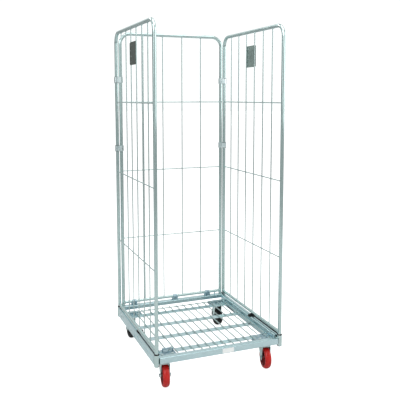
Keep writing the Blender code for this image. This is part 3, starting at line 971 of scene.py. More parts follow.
# ---- base --------------------------------------------------------------------------------
@dataclass
class BoxRail:
    """A rail of rounded box tube that runs across the base."""

    node: str
    corner: float = 0.0045
    wall: float = 0.002
    bead: float = 0.0018
    bead_half: float = 0.009
    side_bead: float = 0.0016

    def build(self, shop: Workshop) -> None:
        """Makes the rail and the welds at its two ends."""
        low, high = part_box(self.node)
        outer = soften(rectangle((low.y, high.y), (low.z, high.z)), self.corner, 5)
        wall = self.wall
        hollow = rectangle((low.y + wall, high.y - wall), (low.z + wall, high.z - wall))
        inner = soften(hollow, self.corner - wall, 5)
        bm = bmesh.new()
        channel(bm, outer, inner, low.x, high.x, PULLED_ALONG_X)
        shop.piece(f"{self.node}_tube", bm, Stock.RAIL, "base", [self.node])
        welds = bmesh.new()
        middle = (low.y + high.y) / 2
        for x in (low.x, high.x):
            for z in (low.z, high.z):
                ends = [Vector((x, middle + reach, z)) for reach in (-self.bead_half, self.bead_half)]
                weld_bead(welds, *ends, self.bead)
            for y in (low.y + 0.001, high.y - 0.001):
                ends = [Vector((x, y, z)) for z in (low.z + 0.003, high.z - 0.003)]
                weld_bead(welds, *ends, self.side_bead)
        shop.piece(f"{self.node}_welds", welds, Stock.WELD, "base")


@dataclass
class SideRail:
    """A rolled rail with a pressed groove along its front half, an arched notch and a deck ledge."""

    side: Side
    inner_x: float = 0.3000
    corner: float = 0.007
    wall: float = 0.0025
    groove_depth: float = 0.0010
    groove_slope: float = 0.0022
    groove_round: float = 0.0012
    groove_fade: float = 0.012
    groove_z: Flat = (0.1450, 0.1540)
    slot_z: Flat = (0.1462, 0.1528)
    groove_y: Flat = (-0.316, -0.034)
    notch_radius: float = 0.012
    notch_top: float = 0.142
    ledge: tuple[Flat, Flat, Flat] = ((0.285, 0.3005), (-0.245, 0.255), (0.1442, 0.1472))
    bolt_y: tuple[float, ...] = (0.232, 0.268, 0.304)
    bolt_z: Flat = (0.155, 0.145)
    bolt_size: Flat = (0.0066, 0.0033)
    weld_x: Flat = (0.306, 0.322)
    weld_radius: float = 0.0018
    # Size of the black rubber strip that paints the shadow in the gap between the rail's top and the panel's
    # bottom tube.
    seal_inset: Flat = (0.0070, 0.0020)
    seal_height: float = 0.0030
    seal_end: float = -0.062

    def section(self, low: Vector, high: Vector, depth: float, inset: float) -> list[Flat]:
        """The rail's (out, up) outline at one station.

        Args:
            low: The rail's lowest corner, as if on the right side.
            high: Its highest corner.
            depth: How deep the groove is pressed here.
            inset: How far inside the outer skin the outline runs.

        Returns:
            The closed outline.
        """
        near, far = low.x + inset, high.x - inset
        bottom, top = low.z + inset, high.z - inset
        groove_low, groove_high = self.groove_z[0] + inset * 0.5, self.groove_z[1] - inset * 0.5
        corners = [
            (near, bottom),
            (far, bottom),
            (far, groove_low - self.groove_slope),
            (far - depth, groove_low),
            (far - depth, groove_high),
            (far, groove_high + self.groove_slope),
            (far, top),
            (near, top),
        ]
        rounds = [self.corner - inset] * 2 + [self.groove_round] * 4 + [self.corner - inset] * 2
        made: list[Flat] = []
        for k, corner in enumerate(corners):
            triple = [corners[k - 1], corner, corners[(k + 1) % len(corners)]]
            made += soften(triple, max(rounds[k], 0.0006), 5)[6:12]
        return made

    def build(self, shop: Workshop) -> None:
        """Makes the rail with its slot and notch, the deck ledge and the fixings."""
        node = f"{self.side.word}_side_rail"
        low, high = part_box(node)
        sign = self.side.value
        right_low = Vector((self.inner_x, low.y, low.z))
        right_high = Vector((max(abs(low.x), abs(high.x)), high.y, high.z))
        front, rear = self.groove_y
        fade = self.groove_fade
        stations = [(low.y, 0.0), (front, 0.0), (front + fade, 1.0)]
        stations += [(rear - fade, 1.0), (rear, 0.0), (high.y, 0.0)]
        bm = bmesh.new()
        loops = []
        for inset in (0.0, self.wall):
            rings = []
            for y, share in stations:
                outline = self.section(right_low, right_high, self.groove_depth * share, inset)
                rings.append([bm.verts.new((sign * x, y, z)) for x, z in outline])
            for near, far in zip(rings, rings[1:]):
                skin(bm, near, far)
            loops.append(rings)
        for end in (0, -1):
            skin(bm, loops[0][end], loops[1][end])
        rail = shop.piece(f"{node}_rolled", bm, Stock.RAIL, "base", [node])
        notch = arc((0.0, self.notch_top - self.notch_radius), self.notch_radius, 0, 180, 20)
        notch += [(-self.notch_radius, low.z - 0.01), (self.notch_radius, low.z - 0.01)]
        cut = sorted((sign * (right_high.x - self.groove_depth * 2), sign * (right_high.x + 0.01)))
        tool = bmesh.new()
        prism(tool, notch, *cut, PULLED_ALONG_X)
        slot = soften(rectangle((front + fade * 0.3, rear - fade * 0.3), self.slot_z), 0.003, 5)
        prism(tool, slot, *cut, PULLED_ALONG_X)
        shop.carve(rail, tool)
        (in_x, out_x), y_range, z_range = self.ledge
        strip = bmesh.new()
        outline = soften(rectangle(sorted((sign * in_x, sign * out_x)), z_range), 0.001, 2)
        prism(strip, outline, *y_range, PULLED_ALONG_Y)
        shop.piece(f"{self.side.word}_deck_ledge", strip, Stock.RAIL, "base", ease=0.0003)
        self.fixings(shop, sign, right_high, low)

    def fixings(self, shop: Workshop, sign: int, right_high: Vector, low: Vector) -> None:
        """A black strip along the top of the front half, painted shade for the dark gap under the panel's
        bottom tube; the bolts at the rear corner and the welds at both ends.

        Args:
            shop: Where pieces are made.
            sign: The side's sign on X.
            right_high: The rail's outer top corner, as if on the right side.
            low: The rail's lowest corner.
        """
        # Painted shade: a black rubber strip on the rail's top, front half only, darkens the gap under the
        # panel's bottom tube, where there is only shadow.
        gap_shade_strip = bmesh.new()
        span = sorted(sign * (right_high.x - inset) for inset in self.seal_inset)
        outline = soften(rectangle(span, (right_high.z, right_high.z + self.seal_height)), 0.001, 2)
        prism(gap_shade_strip, outline, low.y + 0.008, self.seal_end, PULLED_ALONG_Y)
        shop.piece(f"{self.side.word}_rail_seal", gap_shade_strip, Stock.RUBBER, "base")
        bolts = bmesh.new()
        turn = Matrix.Rotation(sign * math.pi / 2, 4, "Y")
        for k, y in enumerate(self.bolt_y):
            seat = Matrix.Translation((sign * right_high.x, y, self.bolt_z[k % 2]))
            hex_head(bolts, seat @ turn, *self.bolt_size)
        shop.piece(f"{self.side.word}_rail_bolts", bolts, Stock.FASTENER, "base")
        welds = bmesh.new()
        for y in (low.y, right_high.y):
            for x in self.weld_x:
                top = Vector((sign * x, y, right_high.z - 0.006))
                weld_bead(welds, Vector((sign * x, y, low.z + 0.008)), top, self.weld_radius)
        shop.piece(f"{self.side.word}_rail_welds", welds, Stock.WELD, "base")


@dataclass
class CornerPressing:
    """A pressed channel over a caster, bolted through its top."""

    end: End
    side: Side
    bend: float = 0.005
    sheet: float = 0.003
    bolt_radius: float = 0.0068
    bolt_columns: Flat = (-0.52, 0.60)

    @property
    def bolt_height(self) -> float:
        """How far the bolts stand up, less at the rear where the deck folds past them."""
        return 0.0055 if self.end is End.FRONT else 0.0025

    @property
    def bolt_rows(self) -> Flat:
        """Where the bolts stand fore and aft, as shares of the half depth."""
        return (-0.55, 0.50) if self.end is End.FRONT else (-0.70, -0.10)

    def build(self, shop: Workshop) -> None:
        """Makes the pressing and its bolts."""
        node = f"{self.end.word}_{self.side.word}_corner"
        low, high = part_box(node)
        outer = [(low.x, low.z), (low.x, high.z), (high.x, high.z), (high.x, low.z)]
        sheet = self.sheet
        inner = [(high.x - sheet, low.z), (high.x - sheet, high.z - sheet)]
        inner += [(low.x + sheet, high.z - sheet), (low.x + sheet, low.z)]
        outline = [outer[0]] + soften(outer, self.bend, 5)[6:18] + [outer[3]]
        outline += [inner[0]] + soften(inner, self.bend - sheet, 5)[6:18] + [inner[3]]
        bm = bmesh.new()
        prism(bm, outline, low.y, high.y, PULLED_ALONG_Y)
        shop.piece(f"{node}_pressing", bm, Stock.SHEET, "base", [node], ease=0.0004)
        bolts = bmesh.new()
        room = (high - low) / 2
        middle = (high + low) / 2
        for x in self.bolt_columns:
            for y in self.bolt_rows:
                seat = Vector((middle.x + self.side.value * x * room.x, middle.y + y * room.y, high.z))
                hex_head(bolts, Matrix.Translation(seat), self.bolt_radius, self.bolt_height)
        shop.piece(f"{node}_bolts", bolts, Stock.FASTENER, "base")


@dataclass
class DeckCatch:
    """A bridge-shaped strap on the front left corner that the deck's front edge clips under."""

    reach: float = 0.054
    rise: float = 0.0115
    strap: float = 0.0024
    half_width: float = 0.007
    bolt_inset: float = 0.009
    bolt_size: Flat = (0.0055, 0.0048)

    def build(self, shop: Workshop) -> None:
        """Makes the strap and its bolt."""
        low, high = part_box("front_left_corner")
        far = high.x - 0.004
        near = far - self.reach
        top = high.z + self.rise
        strap = self.strap
        outline = [
            (near, high.z),
            (near, top),
            (far, top),
            (far, high.z),
            (far - strap, high.z),
            (far - strap, top - strap),
            (near + strap, top - strap),
            (near + strap, high.z),
        ]
        middle = high.y - 0.016
        bm = bmesh.new()
        prism(bm, outline, middle - self.half_width, middle + self.half_width, PULLED_ALONG_Y)
        shop.piece("deck_catch_strap", bm, Stock.SHEET, "base", ease=0.0006)
        bolt = bmesh.new()
        hex_head(bolt, Matrix.Translation((far - self.bolt_inset, middle, top)), *self.bolt_size)
        shop.piece("deck_catch_bolt", bolt, Stock.FASTENER, "base")


@dataclass
class TubeTab:
    """A small upright tab that ties the back panel's bottom tube to the rear rail near a corner."""

    side: Side
    place: float = 0.262
    sheet: float = 0.003
    half_depth: float = 0.007

    def build(self, shop: Workshop) -> None:
        """Makes the tab."""
        _, rail_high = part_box("rear_rail")
        tube_low, tube_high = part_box("back_panel_bottom_tube")
        middle = (tube_low.y + tube_high.y) / 2
        x = self.side.value * self.place
        y_range = (middle - self.half_depth, middle + self.half_depth)
        outline = soften(rectangle(y_range, (rail_high.z, tube_low.z + 0.004)), 0.002, 3)
        bm = bmesh.new()
        prism(bm, outline, x - self.sheet / 2, x + self.sheet / 2, PULLED_ALONG_X)
        shop.piece(f"back_tube_tab_{self.side.word}", bm, Stock.RAIL, "base", ease=0.0004)


@dataclass
class CornerSocket:
    """The cup that an upright stands in, with a plastic collar and a web that ties it to the side rail."""

    end: End
    side: Side
    wall: float = 0.0028
    round_foot: float = 0.006
    chamfer: float = 0.0006
    web_half: float = 0.0055
    web_reach: float = 0.0065

    def build(self, shop: Workshop) -> None:
        """Makes the cup, the collar and the tie web."""
        prefix = f"{self.end.word}_{self.side.word}"
        low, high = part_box(f"{prefix}_socket")
        middle = (low + high) / 2
        radius = (high.x - low.x) / 2
        place = Matrix.Translation((middle.x, middle.y, 0))
        foot = arc((radius - self.round_foot, low.z + self.round_foot), self.round_foot, -90, 0, 8)
        bore = radius - self.wall
        floor = low.z + self.round_foot
        chamfer = self.chamfer
        section = [(0, low.z), *foot, (radius, high.z - chamfer), (radius - chamfer, high.z)]
        section += [(bore + chamfer, high.z), (bore, high.z - chamfer), (bore, floor), (0, floor)]
        bm = bmesh.new()
        lathe(bm, section, place, 40)
        shop.piece(f"{prefix}_cup", bm, Stock.TUBE, "base", [f"{prefix}_socket"])
        low_c, high_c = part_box(f"{prefix}_collar")
        ring_r = (high_c.x - low_c.x) / 2
        ring = [
            (bore, low_c.z),
            (ring_r, low_c.z),
            (ring_r, high_c.z - 0.0014),
            (ring_r - 0.0012, high_c.z),
            (bore + 0.0004, high_c.z),
        ]
        collar = bmesh.new()
        lathe(collar, ring, place, 40, closed=True)
        shop.piece(f"{prefix}_bush", collar, Stock.PLASTIC, "base", [f"{prefix}_collar"])
        self.web(shop, prefix, middle, (low.z, high.z), radius)

    def web(self, shop: Workshop, prefix: str, middle: Vector, span: Flat, radius: float) -> None:
        """A web plate from the cup to the side rail.

        Args:
            shop: Where pieces are made.
            prefix: The corner's name.
            middle: The cup's middle.
            span: The heights of the cup's foot and mouth.
            radius: The cup's outer radius.
        """
        toward = -self.end.value
        y_range = sorted((middle.y + toward * radius * 0.80, middle.y + toward * (radius + self.web_reach)))
        outline = rectangle((middle.x - self.web_half, middle.x + self.web_half), y_range)
        web = bmesh.new()
        prism(web, soften(outline, 0.0012, 2), span[0] + 0.008, span[1] - 0.004, NO_TURN)
        shop.piece(f"{prefix}_cup_web", web, Stock.SHEET, "base", ease=0.0004)


@dataclass
class Bumper:
    """A rubber block that the side panel's bottom tube rests on, hooked over the rail's inner shoulder."""

    side: Side
    drop: float = 0.005
    cap_half: float = 0.008
    lip_x: Flat = (0.2972, 0.2998)

    def build(self, shop: Workshop) -> None:
        """Makes the block, its cap over the shoulder and the lip that hooks behind it."""
        node = f"{self.side.word}_bumper"
        low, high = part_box(node)
        outline = soften(rectangle((low.y, high.y), (low.z, high.z)), 0.003, 4)
        bm = bmesh.new()
        prism(bm, outline, low.x, high.x, PULLED_ALONG_X)
        sign = self.side.value
        cap = sorted((sign * self.lip_x[0], sign * (min(abs(low.x), abs(high.x)) + 0.001)))
        middle = (low.y + high.y) / 2
        y_range = (middle - self.cap_half, middle + self.cap_half)
        prism(bm, soften(rectangle(y_range, (low.z, high.z - 0.001)), 0.002, 4), *cap, PULLED_ALONG_X)
        lip = sorted(sign * x for x in self.lip_x)
        hook = soften(rectangle(y_range, (low.z - self.drop, low.z + 0.002)), 0.002, 4)
        prism(bm, hook, *lip, PULLED_ALONG_X)
        shop.piece(f"{node}_block", bm, Stock.RUBBER, "base", [node], ease=0.0008)


@dataclass
class RailLabel:
    """A blank label on the front rail."""

    corner: float = 0.002

    def build(self, shop: Workshop) -> None:
        """Makes the label."""
        low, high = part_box("rail_label")
        outline = soften(rectangle((low.x, high.x), (low.z, high.z)), self.corner, 4)
        bm = bmesh.new()
        prism(bm, outline, low.y, high.y, PULLED_ALONG_Y)
        shop.piece("front_rail_label", bm, Stock.LABEL, "base", ["rail_label"], ease=0.0002)


# ---- deck --------------------------------------------------------------------------------
@dataclass
class Deck:
    """Flat slats under a grid of rods, hinged at the rear."""

    slats: int = 4
    rod_pitch: float = 0.041
    rods_each_side: int = 7
    long_rods_each_side: int = 5
    rod_radius: float = 0.0028
    rear_y: float = 0.300
    long_front_y: float = -0.3245
    short_front_y: float = -0.244
    cross_front_y: float = -0.312
    hinge_y: float = 0.296

    def build(self, shop: Workshop) -> None:
        """Makes the slats, the rods and their welds."""
        welds = bmesh.new()
        rods_low, rods_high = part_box("deck_rods")
        long_z = rods_high.z - self.rod_radius
        cross_z = rods_low.z + self.rod_radius
        spans = []
        for number in range(1, self.slats + 1):
            low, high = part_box(f"deck_slat_{number}")
            spans.append((low, high))
            self.slat(shop, f"deck_slat_{number}", low, high)
        bm = bmesh.new()
        spot = (self.rod_radius * 1.12, self.rod_radius * 1.3, self.rod_radius * 0.45)
        for k in range(-self.rods_each_side, self.rods_each_side + 1):
            x = k * self.rod_pitch
            front = self.long_front_y if abs(k) <= self.long_rods_each_side else self.short_front_y
            bar(bm, Vector((x, front, long_z)), Vector((x, self.rear_y, long_z)), self.rod_radius)
            for low, high in spans:
                middle = (low.y + high.y) / 2
                if low.x < x < high.x and front < middle:
                    blob(welds, Vector((x, middle, high.z + 0.0004)), spot)
        front_reach = self.long_rods_each_side * self.rod_pitch + self.rod_radius
        for y, reach in ((self.cross_front_y, front_reach), (self.hinge_y, rods_high.x)):
            bar(bm, Vector((-reach, y, cross_z)), Vector((reach, y, cross_z)), self.rod_radius)
        shop.piece("deck_grid", bm, Stock.WIRE, "deck", ["deck_rods"])
        shop.piece("deck_spot_welds", welds, Stock.WELD, "deck")

    def slat(self, shop: Workshop, node: str, low: Vector, high: Vector) -> None:
        """One flat slat with rolled edges and rounded ends.

        Args:
            shop: Where pieces are made.
            node: The slat's node in the frame.
            low: Its lowest corner.
            high: Its highest corner.
        """
        outline = soften(rectangle((low.x, high.x), (low.y, high.y)), 0.004, 4)
        bm = bmesh.new()
        prism(bm, outline, low.z, high.z, NO_TURN)
        shop.piece(f"{node}_strip", bm, Stock.RAIL, "deck", [node], ease=0.0008)


# ---- casters -----------------------------------------------------------------------------
@dataclass
class Wheel:
    """A wheel: a tread moulded on a ribbed core, turning on a plain bearing."""

    prefix: str
    body: str
    tread: Stock
    core: Stock
    radius: float = 0.055
    half_width: float = 0.016
    tread_bore: float = 0.0428
    shoulder: float = 0.0085
    straight_axle_span: float = 0.020
    ribs: int = 10
    rib_reach: Flat = (0.0132, 0.0378)
    rib_half: float = 0.0011
    rib_depth: Flat = (0.0055, 0.0118)
    core_side: tuple[Flat, ...] = (
        (0.0056, 0.0184), (0.0110, 0.0184), (0.0126, 0.0174), (0.0138, 0.0120), (0.0160, 0.0070),
        (0.0350, 0.0060), (0.0374, 0.0080), (0.0386, 0.0138), (0.0396, 0.0148), (0.0427, 0.0148),
    )
    shield_ring: tuple[Flat, ...] = ((0.0062, 0.0184), (0.0102, 0.0184), (0.0100, 0.0190), (0.0064, 0.0190))

    def place(self) -> Matrix:
        """The wheel's axis at rest, read off its tread's box."""
        low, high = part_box(f"{self.prefix}_tyre")
        middle = (low + high) / 2
        axle_low, axle_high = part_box(f"{self.prefix}_axle")
        span = axle_high - axle_low
        turned = span.y > self.straight_axle_span
        turn = Matrix.Rotation(REST_TURN if turned else 0.0, 4, "Z")
        return Matrix.Translation(middle) @ turn @ ALONG_X

    def build(self, shop: Workshop) -> None:
        """Makes the tread, the core, its ribs and its bearing shield."""
        place = self.place()
        tread = bmesh.new()
        crown = arc((self.radius - self.shoulder, 0), self.shoulder, 72, -72, 16)
        crown = [(r, w * (self.half_width - 0.0012) / 0.0081) for r, w in crown]
        section = [(self.tread_bore, self.half_width - 0.0004), (self.tread_bore + 0.005, self.half_width)]
        section += crown
        section += [(self.tread_bore + 0.005, -self.half_width), (self.tread_bore, 0.0004 - self.half_width)]
        lathe(tread, section, place, 72, closed=True)
        shop.piece(f"{self.prefix}_tread", tread, self.tread, self.body, [f"{self.prefix}_tyre"])
        core = bmesh.new()
        section = [*self.core_side, *((r, -w) for r, w in reversed(self.core_side))]
        lathe(core, section, place, 56, closed=True)
        for k in range(self.ribs):
            turn = Matrix.Rotation(2 * math.pi * k / self.ribs, 4, "Z")
            for face in (-1, 1):
                rib = rectangle(self.rib_reach, (-self.rib_half, self.rib_half))
                prism(core, rib, *sorted(face * w for w in self.rib_depth), place @ turn)
        shop.piece(f"{self.prefix}_hub", core, self.core, self.body, [f"{self.prefix}_wheel_core"])
        shield = bmesh.new()
        for face in (-1, 1):
            lathe(shield, [(r, face * w) for r, w in self.shield_ring], place, 32, closed=True)
        shop.piece(f"{self.prefix}_bearing_shield", shield, Stock.FASTENER, self.body)


@dataclass
class Caster:
    """What a swivel and a fixed caster share: a forked bracket of pressed steel, an axle and a plate."""

    end: End
    side: Side
    half_gap: float = 0.0195
    sheet: float = 0.003
    wheel_radius: float = 0.055
    leg_foot: float = 0.0125
    axle_radius: float = 0.005
    axle_head: Flat = (0.0086, 0.0063)
    plate_half: Flat = (0.035, 0.046)
    plate_sheet: float = 0.004

    @property
    def prefix(self) -> str:
        """The caster's name as the frame's nodes spell it."""
        return f"{self.end.word}_{self.side.word}"

    def fork(
        self,
        shop: Workshop,
        name: str,
        body: str,
        node: str,
        place: Matrix,
        top: float,
        reach: Flat,
        legs: Sequence[Flat],
    ) -> bpy.types.Object:
        """An inverted pressed channel trimmed to the shape of its legs.

        Args:
            shop: Where pieces are made.
            name: The piece's name.
            body: The body it rides on.
            node: The node it stands for.
            place: Its own axes: Y fore and aft, Z up, from the floor under its centre.
            top: Height of the channel's top face.
            reach: How far the channel runs fore and aft.
            legs: The legs' outline as (fore and aft, height).

        Returns:
            The fork.
        """
        outer = self.half_gap + self.sheet
        foot = self.wheel_radius - 2 * self.leg_foot
        inside = self.half_gap
        arch_out = [(-outer, foot), (-outer, top), (outer, top), (outer, foot)]
        skin_out = soften(arch_out, 0.005, 5)[6:18]
        inner_top = top - self.sheet
        arch_in = [(inside, foot), (inside, inner_top), (-inside, inner_top), (-inside, foot)]
        skin_in = soften(arch_in, 0.002, 5)[6:18]
        outline = [(-outer, foot), *skin_out, (outer, foot), (inside, foot), *skin_in, (-inside, foot)]
        bm = bmesh.new()
        prism(bm, outline, *reach, place @ PULLED_ALONG_Y)
        made = shop.piece(name, bm, Stock.TUBE, body, [node])
        trim = bmesh.new()
        prism(trim, legs, -2 * outer, 2 * outer, place @ PULLED_ALONG_X)
        shop.carve(made, trim, "INTERSECT")
        return made

    def axle(self, shop: Workshop, body: str, place: Matrix) -> None:
        """The axle bolt, with a hexagon on a washer outside each leg.

        Args:
            shop: Where pieces are made.
            body: The body it rides on.
            place: The axle's middle, with its own Z along the axle.
        """
        bm = bmesh.new()
        face = self.half_gap + self.sheet
        lathe(bm, [(0, -face), (self.axle_radius, -face), (self.axle_radius, face), (0, face)], place, 24)
        for turn in (NO_TURN, Matrix.Rotation(math.pi, 4, "X")):
            seat = place @ turn @ Matrix.Translation((0, 0, face))
            hex_head(bm, seat, *self.axle_head)
        shop.piece(f"{self.prefix}_axle_bolt", bm, Stock.FASTENER, body, [f"{self.prefix}_axle"])

    def plate(self, bm: bmesh.types.BMesh, place: Matrix, top: float) -> None:
        """Adds the mounting plate, with rounded corners.

        Args:
            bm: The mesh to add to.
            place: The plate's middle on the floor.
            top: Its upper face.
        """
        half_x, half_y = self.plate_half
        outline = soften(rectangle((-half_x, half_x), (-half_y, half_y)), 0.006, 4)
        prism(bm, outline, top - self.plate_sheet, top, place)


@dataclass
class SwivelCaster(Caster):
    """A front caster: its fork turns under a fixed plate on a ball race."""

    trail: float = 0.030
    crown_drop: float = 0.0132
    pin_bore: float = 0.0073
    pin_head: float = 0.010
    pin_shank: float = 0.006
    race_gap: float = 0.0004

    def build(self, shop: Workshop) -> None:
        """Makes the plate with its kingpin, the fork, the race, the axle and the wheel."""
        plate_low, plate_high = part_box(f"{self.prefix}_caster_plate")
        middle = (plate_low + plate_high) / 2
        spot = Matrix.Translation((middle.x, middle.y, 0))
        plate = bmesh.new()
        self.plate(plate, spot, plate_high.z)
        foot, seat, top = plate_low.z, plate_low.z + 0.0054, plate_high.z - 0.002
        pin = [(0, foot), (0.0088, foot), (self.pin_head, foot + 0.001), (self.pin_head, seat)]
        pin += [(self.pin_shank, seat), (self.pin_shank, top), (0, top)]
        lathe(plate, pin, spot, 32)
        node = f"{self.prefix}_caster_plate"
        shop.piece(f"{self.prefix}_top_plate", plate, Stock.SHEET, "base", [node], ease=0.0005)
        body = f"{self.prefix}_swivel"
        place = spot @ Matrix.Rotation(REST_TURN, 4, "Z")
        crown = plate_high.z - self.crown_drop
        legs = arc((-self.trail, self.wheel_radius), self.leg_foot, 180, 360, 18)
        legs += [(0.004, 0.085), (0.021, crown - 0.010), (0.021, crown + 0.001)]
        legs += [(-0.046, crown + 0.001), (-0.046, crown - 0.008)]
        name = f"{self.prefix}_pressed_fork"
        fork = self.fork(shop, name, body, f"{self.prefix}_fork", place, crown, (-0.048, 0.024), legs)
        under, over = crown - 0.02, crown + 0.02
        bore = bmesh.new()
        lathe(bore, [(0, under), (self.pin_bore, under), (self.pin_bore, over), (0, over)], spot, 32)
        shop.carve(fork, bore)
        self.race(shop, body, spot, crown, plate_high.z - self.plate_sheet - self.race_gap)
        axle_place = place @ Matrix.Translation((0, -self.trail, self.wheel_radius)) @ ALONG_X
        self.axle(shop, body, axle_place)
        Wheel(self.prefix, f"{self.prefix}_wheel", Stock.TREAD, Stock.CORE).build(shop)

    def race(self, shop: Workshop, body: str, spot: Matrix, low: float, high: float) -> None:
        """The pressed ball race on top of the fork, with a seal line round it.

        Args:
            shop: Where pieces are made.
            body: The body it rides on.
            spot: The swivel axis.
            low: Where the race starts.
            high: Where it ends, just under the plate.
        """
        step = (high - low) / 4
        bm = bmesh.new()
        section = [
            (self.pin_bore, low), (0.0200, low), (0.0245, low + step), (0.0258, low + 1.8 * step),
            (0.0245, low + 2.1 * step), (0.0258, low + 2.5 * step), (0.0252, high - 0.3 * step),
            (0.0235, high), (self.pin_bore, high),
        ]
        lathe(bm, section, spot, 48, closed=True)
        shop.piece(f"{self.prefix}_ball_race", bm, Stock.TUBE, body)


@dataclass
class FixedCaster(Caster):
    """A rear caster: the plate and the legs are one bracket, and only the wheel turns."""

    leg_half: float = 0.018
    bead: float = 0.0016
    bead_half: float = 0.015
    bead_gap: float = 0.0008

    def build(self, shop: Workshop) -> None:
        """Makes the bracket, the axle and the wheel."""
        node = f"{self.prefix}_caster_bracket"
        low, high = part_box(node)
        middle = (low + high) / 2
        spot = Matrix.Translation((middle.x, middle.y, 0))
        plate_low = high.z - self.plate_sheet
        legs = arc((0, self.wheel_radius), self.leg_foot, 180, 360, 18)
        half = self.leg_half
        legs += [(half, plate_low - 0.012), (half, plate_low + 0.001)]
        legs += [(-half, plate_low + 0.001), (-half, plate_low - 0.012)]
        name = f"{self.prefix}_pressed_bracket"
        self.fork(shop, name, "base", node, spot, plate_low + 0.0002, (-0.034, 0.034), legs)
        plate = bmesh.new()
        self.plate(plate, spot, high.z)
        shop.piece(f"{self.prefix}_top_plate", plate, Stock.SHEET, "base", ease=0.0005)
        welds = bmesh.new()
        for x in (-1, 1):
            edge = middle.x + x * (self.half_gap + self.sheet + self.bead_gap)
            ends = [Vector((edge, middle.y + y, plate_low)) for y in (-self.bead_half, self.bead_half)]
            weld_bead(welds, *ends, self.bead)
        shop.piece(f"{self.prefix}_bracket_welds", welds, Stock.WELD, "base")
        self.axle(shop, "base", Matrix.Translation((middle.x, middle.y, self.wheel_radius)) @ ALONG_X)
        Wheel(self.prefix, f"{self.prefix}_wheel", Stock.RUBBER, Stock.PLASTIC).build(shop)


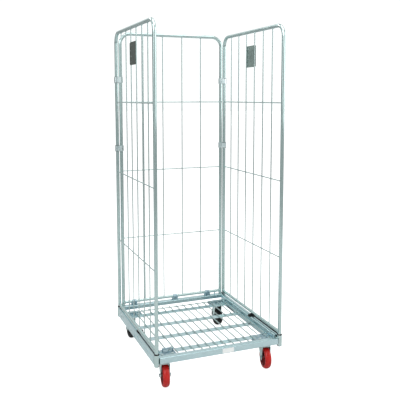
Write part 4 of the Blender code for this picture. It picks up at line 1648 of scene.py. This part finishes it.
# ---- studio ------------------------------------------------------------------------------
@dataclass
class Studio:
    """A pale floor, soft lights and the camera."""

    lens: float = 53.95
    shift: float = -0.0985
    eye: tuple[float, float, float] = (-1.1088, -2.8718, 1.3478)
    heading: float = 21.65
    dip: float = 6.0
    floor_half: float = 60.0
    floor_drop: float = 0.0004
    floor_glow: float = 0.82
    backdrop: float = 1.1
    wall_gain: float = 1.1
    upper_level: float = 0.72
    ceiling_gain: float = 0.6
    rise_heights: Flat = (0.12, 0.26)
    ceiling_heights: Flat = (0.5, 0.9)
    walls: tuple[Flat, ...] = (
        (0.00, 0.12), (0.03, 1.15), (0.13, 1.00), (0.16, 0.28), (0.23, 0.22), (0.27, 0.90), (0.38, 1.10),
        (0.42, 0.12), (0.50, 0.10), (0.56, 0.38), (0.70, 0.48), (0.80, 0.36), (0.90, 0.10), (0.98, 0.08),
    )

    def camera(self) -> None:
        """Puts the camera up, looking slightly down at the open front."""
        data = bpy.data.cameras.new("view")
        data.lens = self.lens
        data.sensor_width = 36.0
        data.shift_y = self.shift
        data.clip_end = 60.0
        holder = bpy.data.objects.new("view", data)
        holder.location = self.eye
        holder.rotation_euler = (math.radians(90 - self.dip), 0.0, math.radians(-self.heading))
        bpy.context.scene.collection.objects.link(holder)
        bpy.context.scene.camera = holder

    def floor(self) -> None:
        """Lays a large pale floor just under the wheels."""
        mesh = bpy.data.meshes.new("studio_floor")
        bm = bmesh.new()
        bmesh.ops.create_circle(bm, cap_ends=True, segments=64, radius=self.floor_half)
        bmesh.ops.translate(bm, verts=bm.verts, vec=(0, 0, -self.floor_drop))
        bm.to_mesh(mesh)
        bm.free()
        graph = Graph("pale_floor")
        graph.colours(graph.noise(0.7, 2.0), ((0.3, (0.62, 0.63, 0.63)), (0.7, (0.65, 0.65, 0.65))))
        graph.fix(Roughness=0.65, Specular_IOR_Level=0.2, Emission_Color=(1.0, 1.0, 1.0, 1.0))
        rays = graph.node("ShaderNodeLightPath")
        glow = graph.node("ShaderNodeMath", operation="MULTIPLY")
        glow.inputs[1].default_value = self.floor_glow
        graph.wire(rays.outputs["Is Camera Ray"], glow.inputs[0])
        graph.wire(glow.outputs[0], graph.shader.inputs["Emission Strength"])
        mesh.materials.append(graph.material)
        floor = bpy.data.objects.new("studio_floor", mesh)
        bpy.context.scene.collection.objects.link(floor)

    def light(self, name: str, spot: Vector, target: Vector, size: float, power: float) -> None:
        """Hangs one square softbox.

        Args:
            name: The light's name.
            spot: Where it hangs.
            target: What it faces.
            size: The length of its side.
            power: Its power in watts.
        """
        data = bpy.data.lights.new(name, "AREA")
        data.shape = "SQUARE"
        data.size = size
        data.energy = power
        holder = bpy.data.objects.new(name, data)
        holder.location = spot
        holder.rotation_euler = (target - spot).to_track_quat("-Z", "Y").to_euler()
        bpy.context.scene.collection.objects.link(holder)

    def surroundings(self) -> None:
        """A white backdrop, and for reflections a room with bright walls, dark gaps and a dim ceiling."""
        world = bpy.data.worlds.new("studio_room")
        world.use_nodes = True
        tree = world.node_tree
        add = tree.nodes.new
        back = tree.nodes["Background"]
        coordinates = add("ShaderNodeTexCoord")
        turn = add("ShaderNodeTexGradient")
        turn.gradient_type = "RADIAL"
        walls = add("ShaderNodeValToRGB")
        fill_ramp(walls.color_ramp, [(position, (level,) * 3) for position, level in self.walls])
        height = add("ShaderNodeSeparateXYZ")
        rise = add("ShaderNodeMapRange")
        rise.inputs["From Min"].default_value, rise.inputs["From Max"].default_value = self.rise_heights
        upper = add("ShaderNodeMix")
        upper.inputs[3].default_value = self.upper_level
        ceiling = add("ShaderNodeMapRange")
        limits = (*self.ceiling_heights, self.wall_gain, self.ceiling_gain)
        for name, limit in zip(("From Min", "From Max", "To Min", "To Max"), limits):
            ceiling.inputs[name].default_value = limit
        room = add("ShaderNodeMath")
        room.operation = "MULTIPLY"
        rays = add("ShaderNodeLightPath")
        choose = add("ShaderNodeMix")
        choose.inputs[3].default_value = self.backdrop
        for source, target in (
            (coordinates.outputs["Generated"], turn.inputs["Vector"]),
            (coordinates.outputs["Generated"], height.inputs["Vector"]),
            (turn.outputs["Fac"], walls.inputs["Fac"]),
            (height.outputs["Z"], ceiling.inputs["Value"]),
            (height.outputs["Z"], rise.inputs["Value"]),
            (rise.outputs["Result"], upper.inputs[0]),
            (walls.outputs["Color"], upper.inputs[2]),
            (upper.outputs[0], room.inputs[0]),
            (ceiling.outputs["Result"], room.inputs[1]),
            (rays.outputs["Is Camera Ray"], choose.inputs[0]),
            (room.outputs[0], choose.inputs[2]),
            (choose.outputs[0], back.inputs["Strength"]),
        ):
            tree.links.new(source, target)
        back.inputs["Color"].default_value = (0.97, 1.0, 1.0, 1.0)
        bpy.context.scene.world = world

    def build(self) -> None:
        """Sets up the whole studio."""
        middle = Vector((0, 0, 0.9))
        bpy.context.scene.view_settings.view_transform = "Standard"
        self.camera()
        self.floor()
        self.surroundings()
        self.light("key", Vector((-2.6, -2.4, 3.4)), middle, 2.4, 60.0)
        self.light("fill", Vector((3.2, -1.6, 2.2)), middle, 2.2, 35.0)
        self.light("overhead", Vector((0.2, -0.6, 4.2)), middle, 3.0, 60.0)
        self.light("rear", Vector((-1.8, 3.2, 4.0)), middle, 1.6, 26.0)


def build_cage(shop: Workshop) -> None:
    """Builds every sub-assembly in order.

    Args:
        shop: Where pieces are made.
    """
    along_x, along_y = Vector((1, 0, 0)), Vector((0, 1, 0))
    WirePanel("back_panel", "base", along_x, along_y, (-0.170, -0.057, 0.057, 0.170)).build(shop)
    for side in Side:
        places = (-0.240, -0.144, -0.048, 0.048, 0.144, 0.240)
        prefix = f"{side.word}_panel"
        WirePanel(prefix, prefix, along_y, along_x * side.value, places).build(shop)
        SignPlate(side).build(shop)
        SideRail(side).build(shop)
        Bumper(side).build(shop)
        for level in ("lower", "upper"):
            HingeRing(side, level).build(shop)
        TubeTab(side).build(shop)
        for end in End:
            CornerPressing(end, side).build(shop)
            CornerSocket(end, side).build(shop)
        SwivelCaster(End.FRONT, side).build(shop)
        FixedCaster(End.REAR, side).build(shop)
    for node in ("front_rail", "rear_rail"):
        BoxRail(node).build(shop)
    for place in ("left", "middle", "right"):
        TubeSaddle(place).build(shop)
    RailLabel().build(shop)
    DeckCatch().build(shop)
    Deck().build(shop)


def main() -> None:
    """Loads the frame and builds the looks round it."""
    logging.basicConfig(level=logging.INFO, format="%(name)s: %(message)s")
    for leftover in list(bpy.data.objects):
        bpy.data.objects.remove(leftover)
    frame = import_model()
    LOG.info("the frame has %d nodes", len(frame["nodes"]))
    build_cage(Workshop())
    Studio().build()


if __name__ == "__main__":
    main()
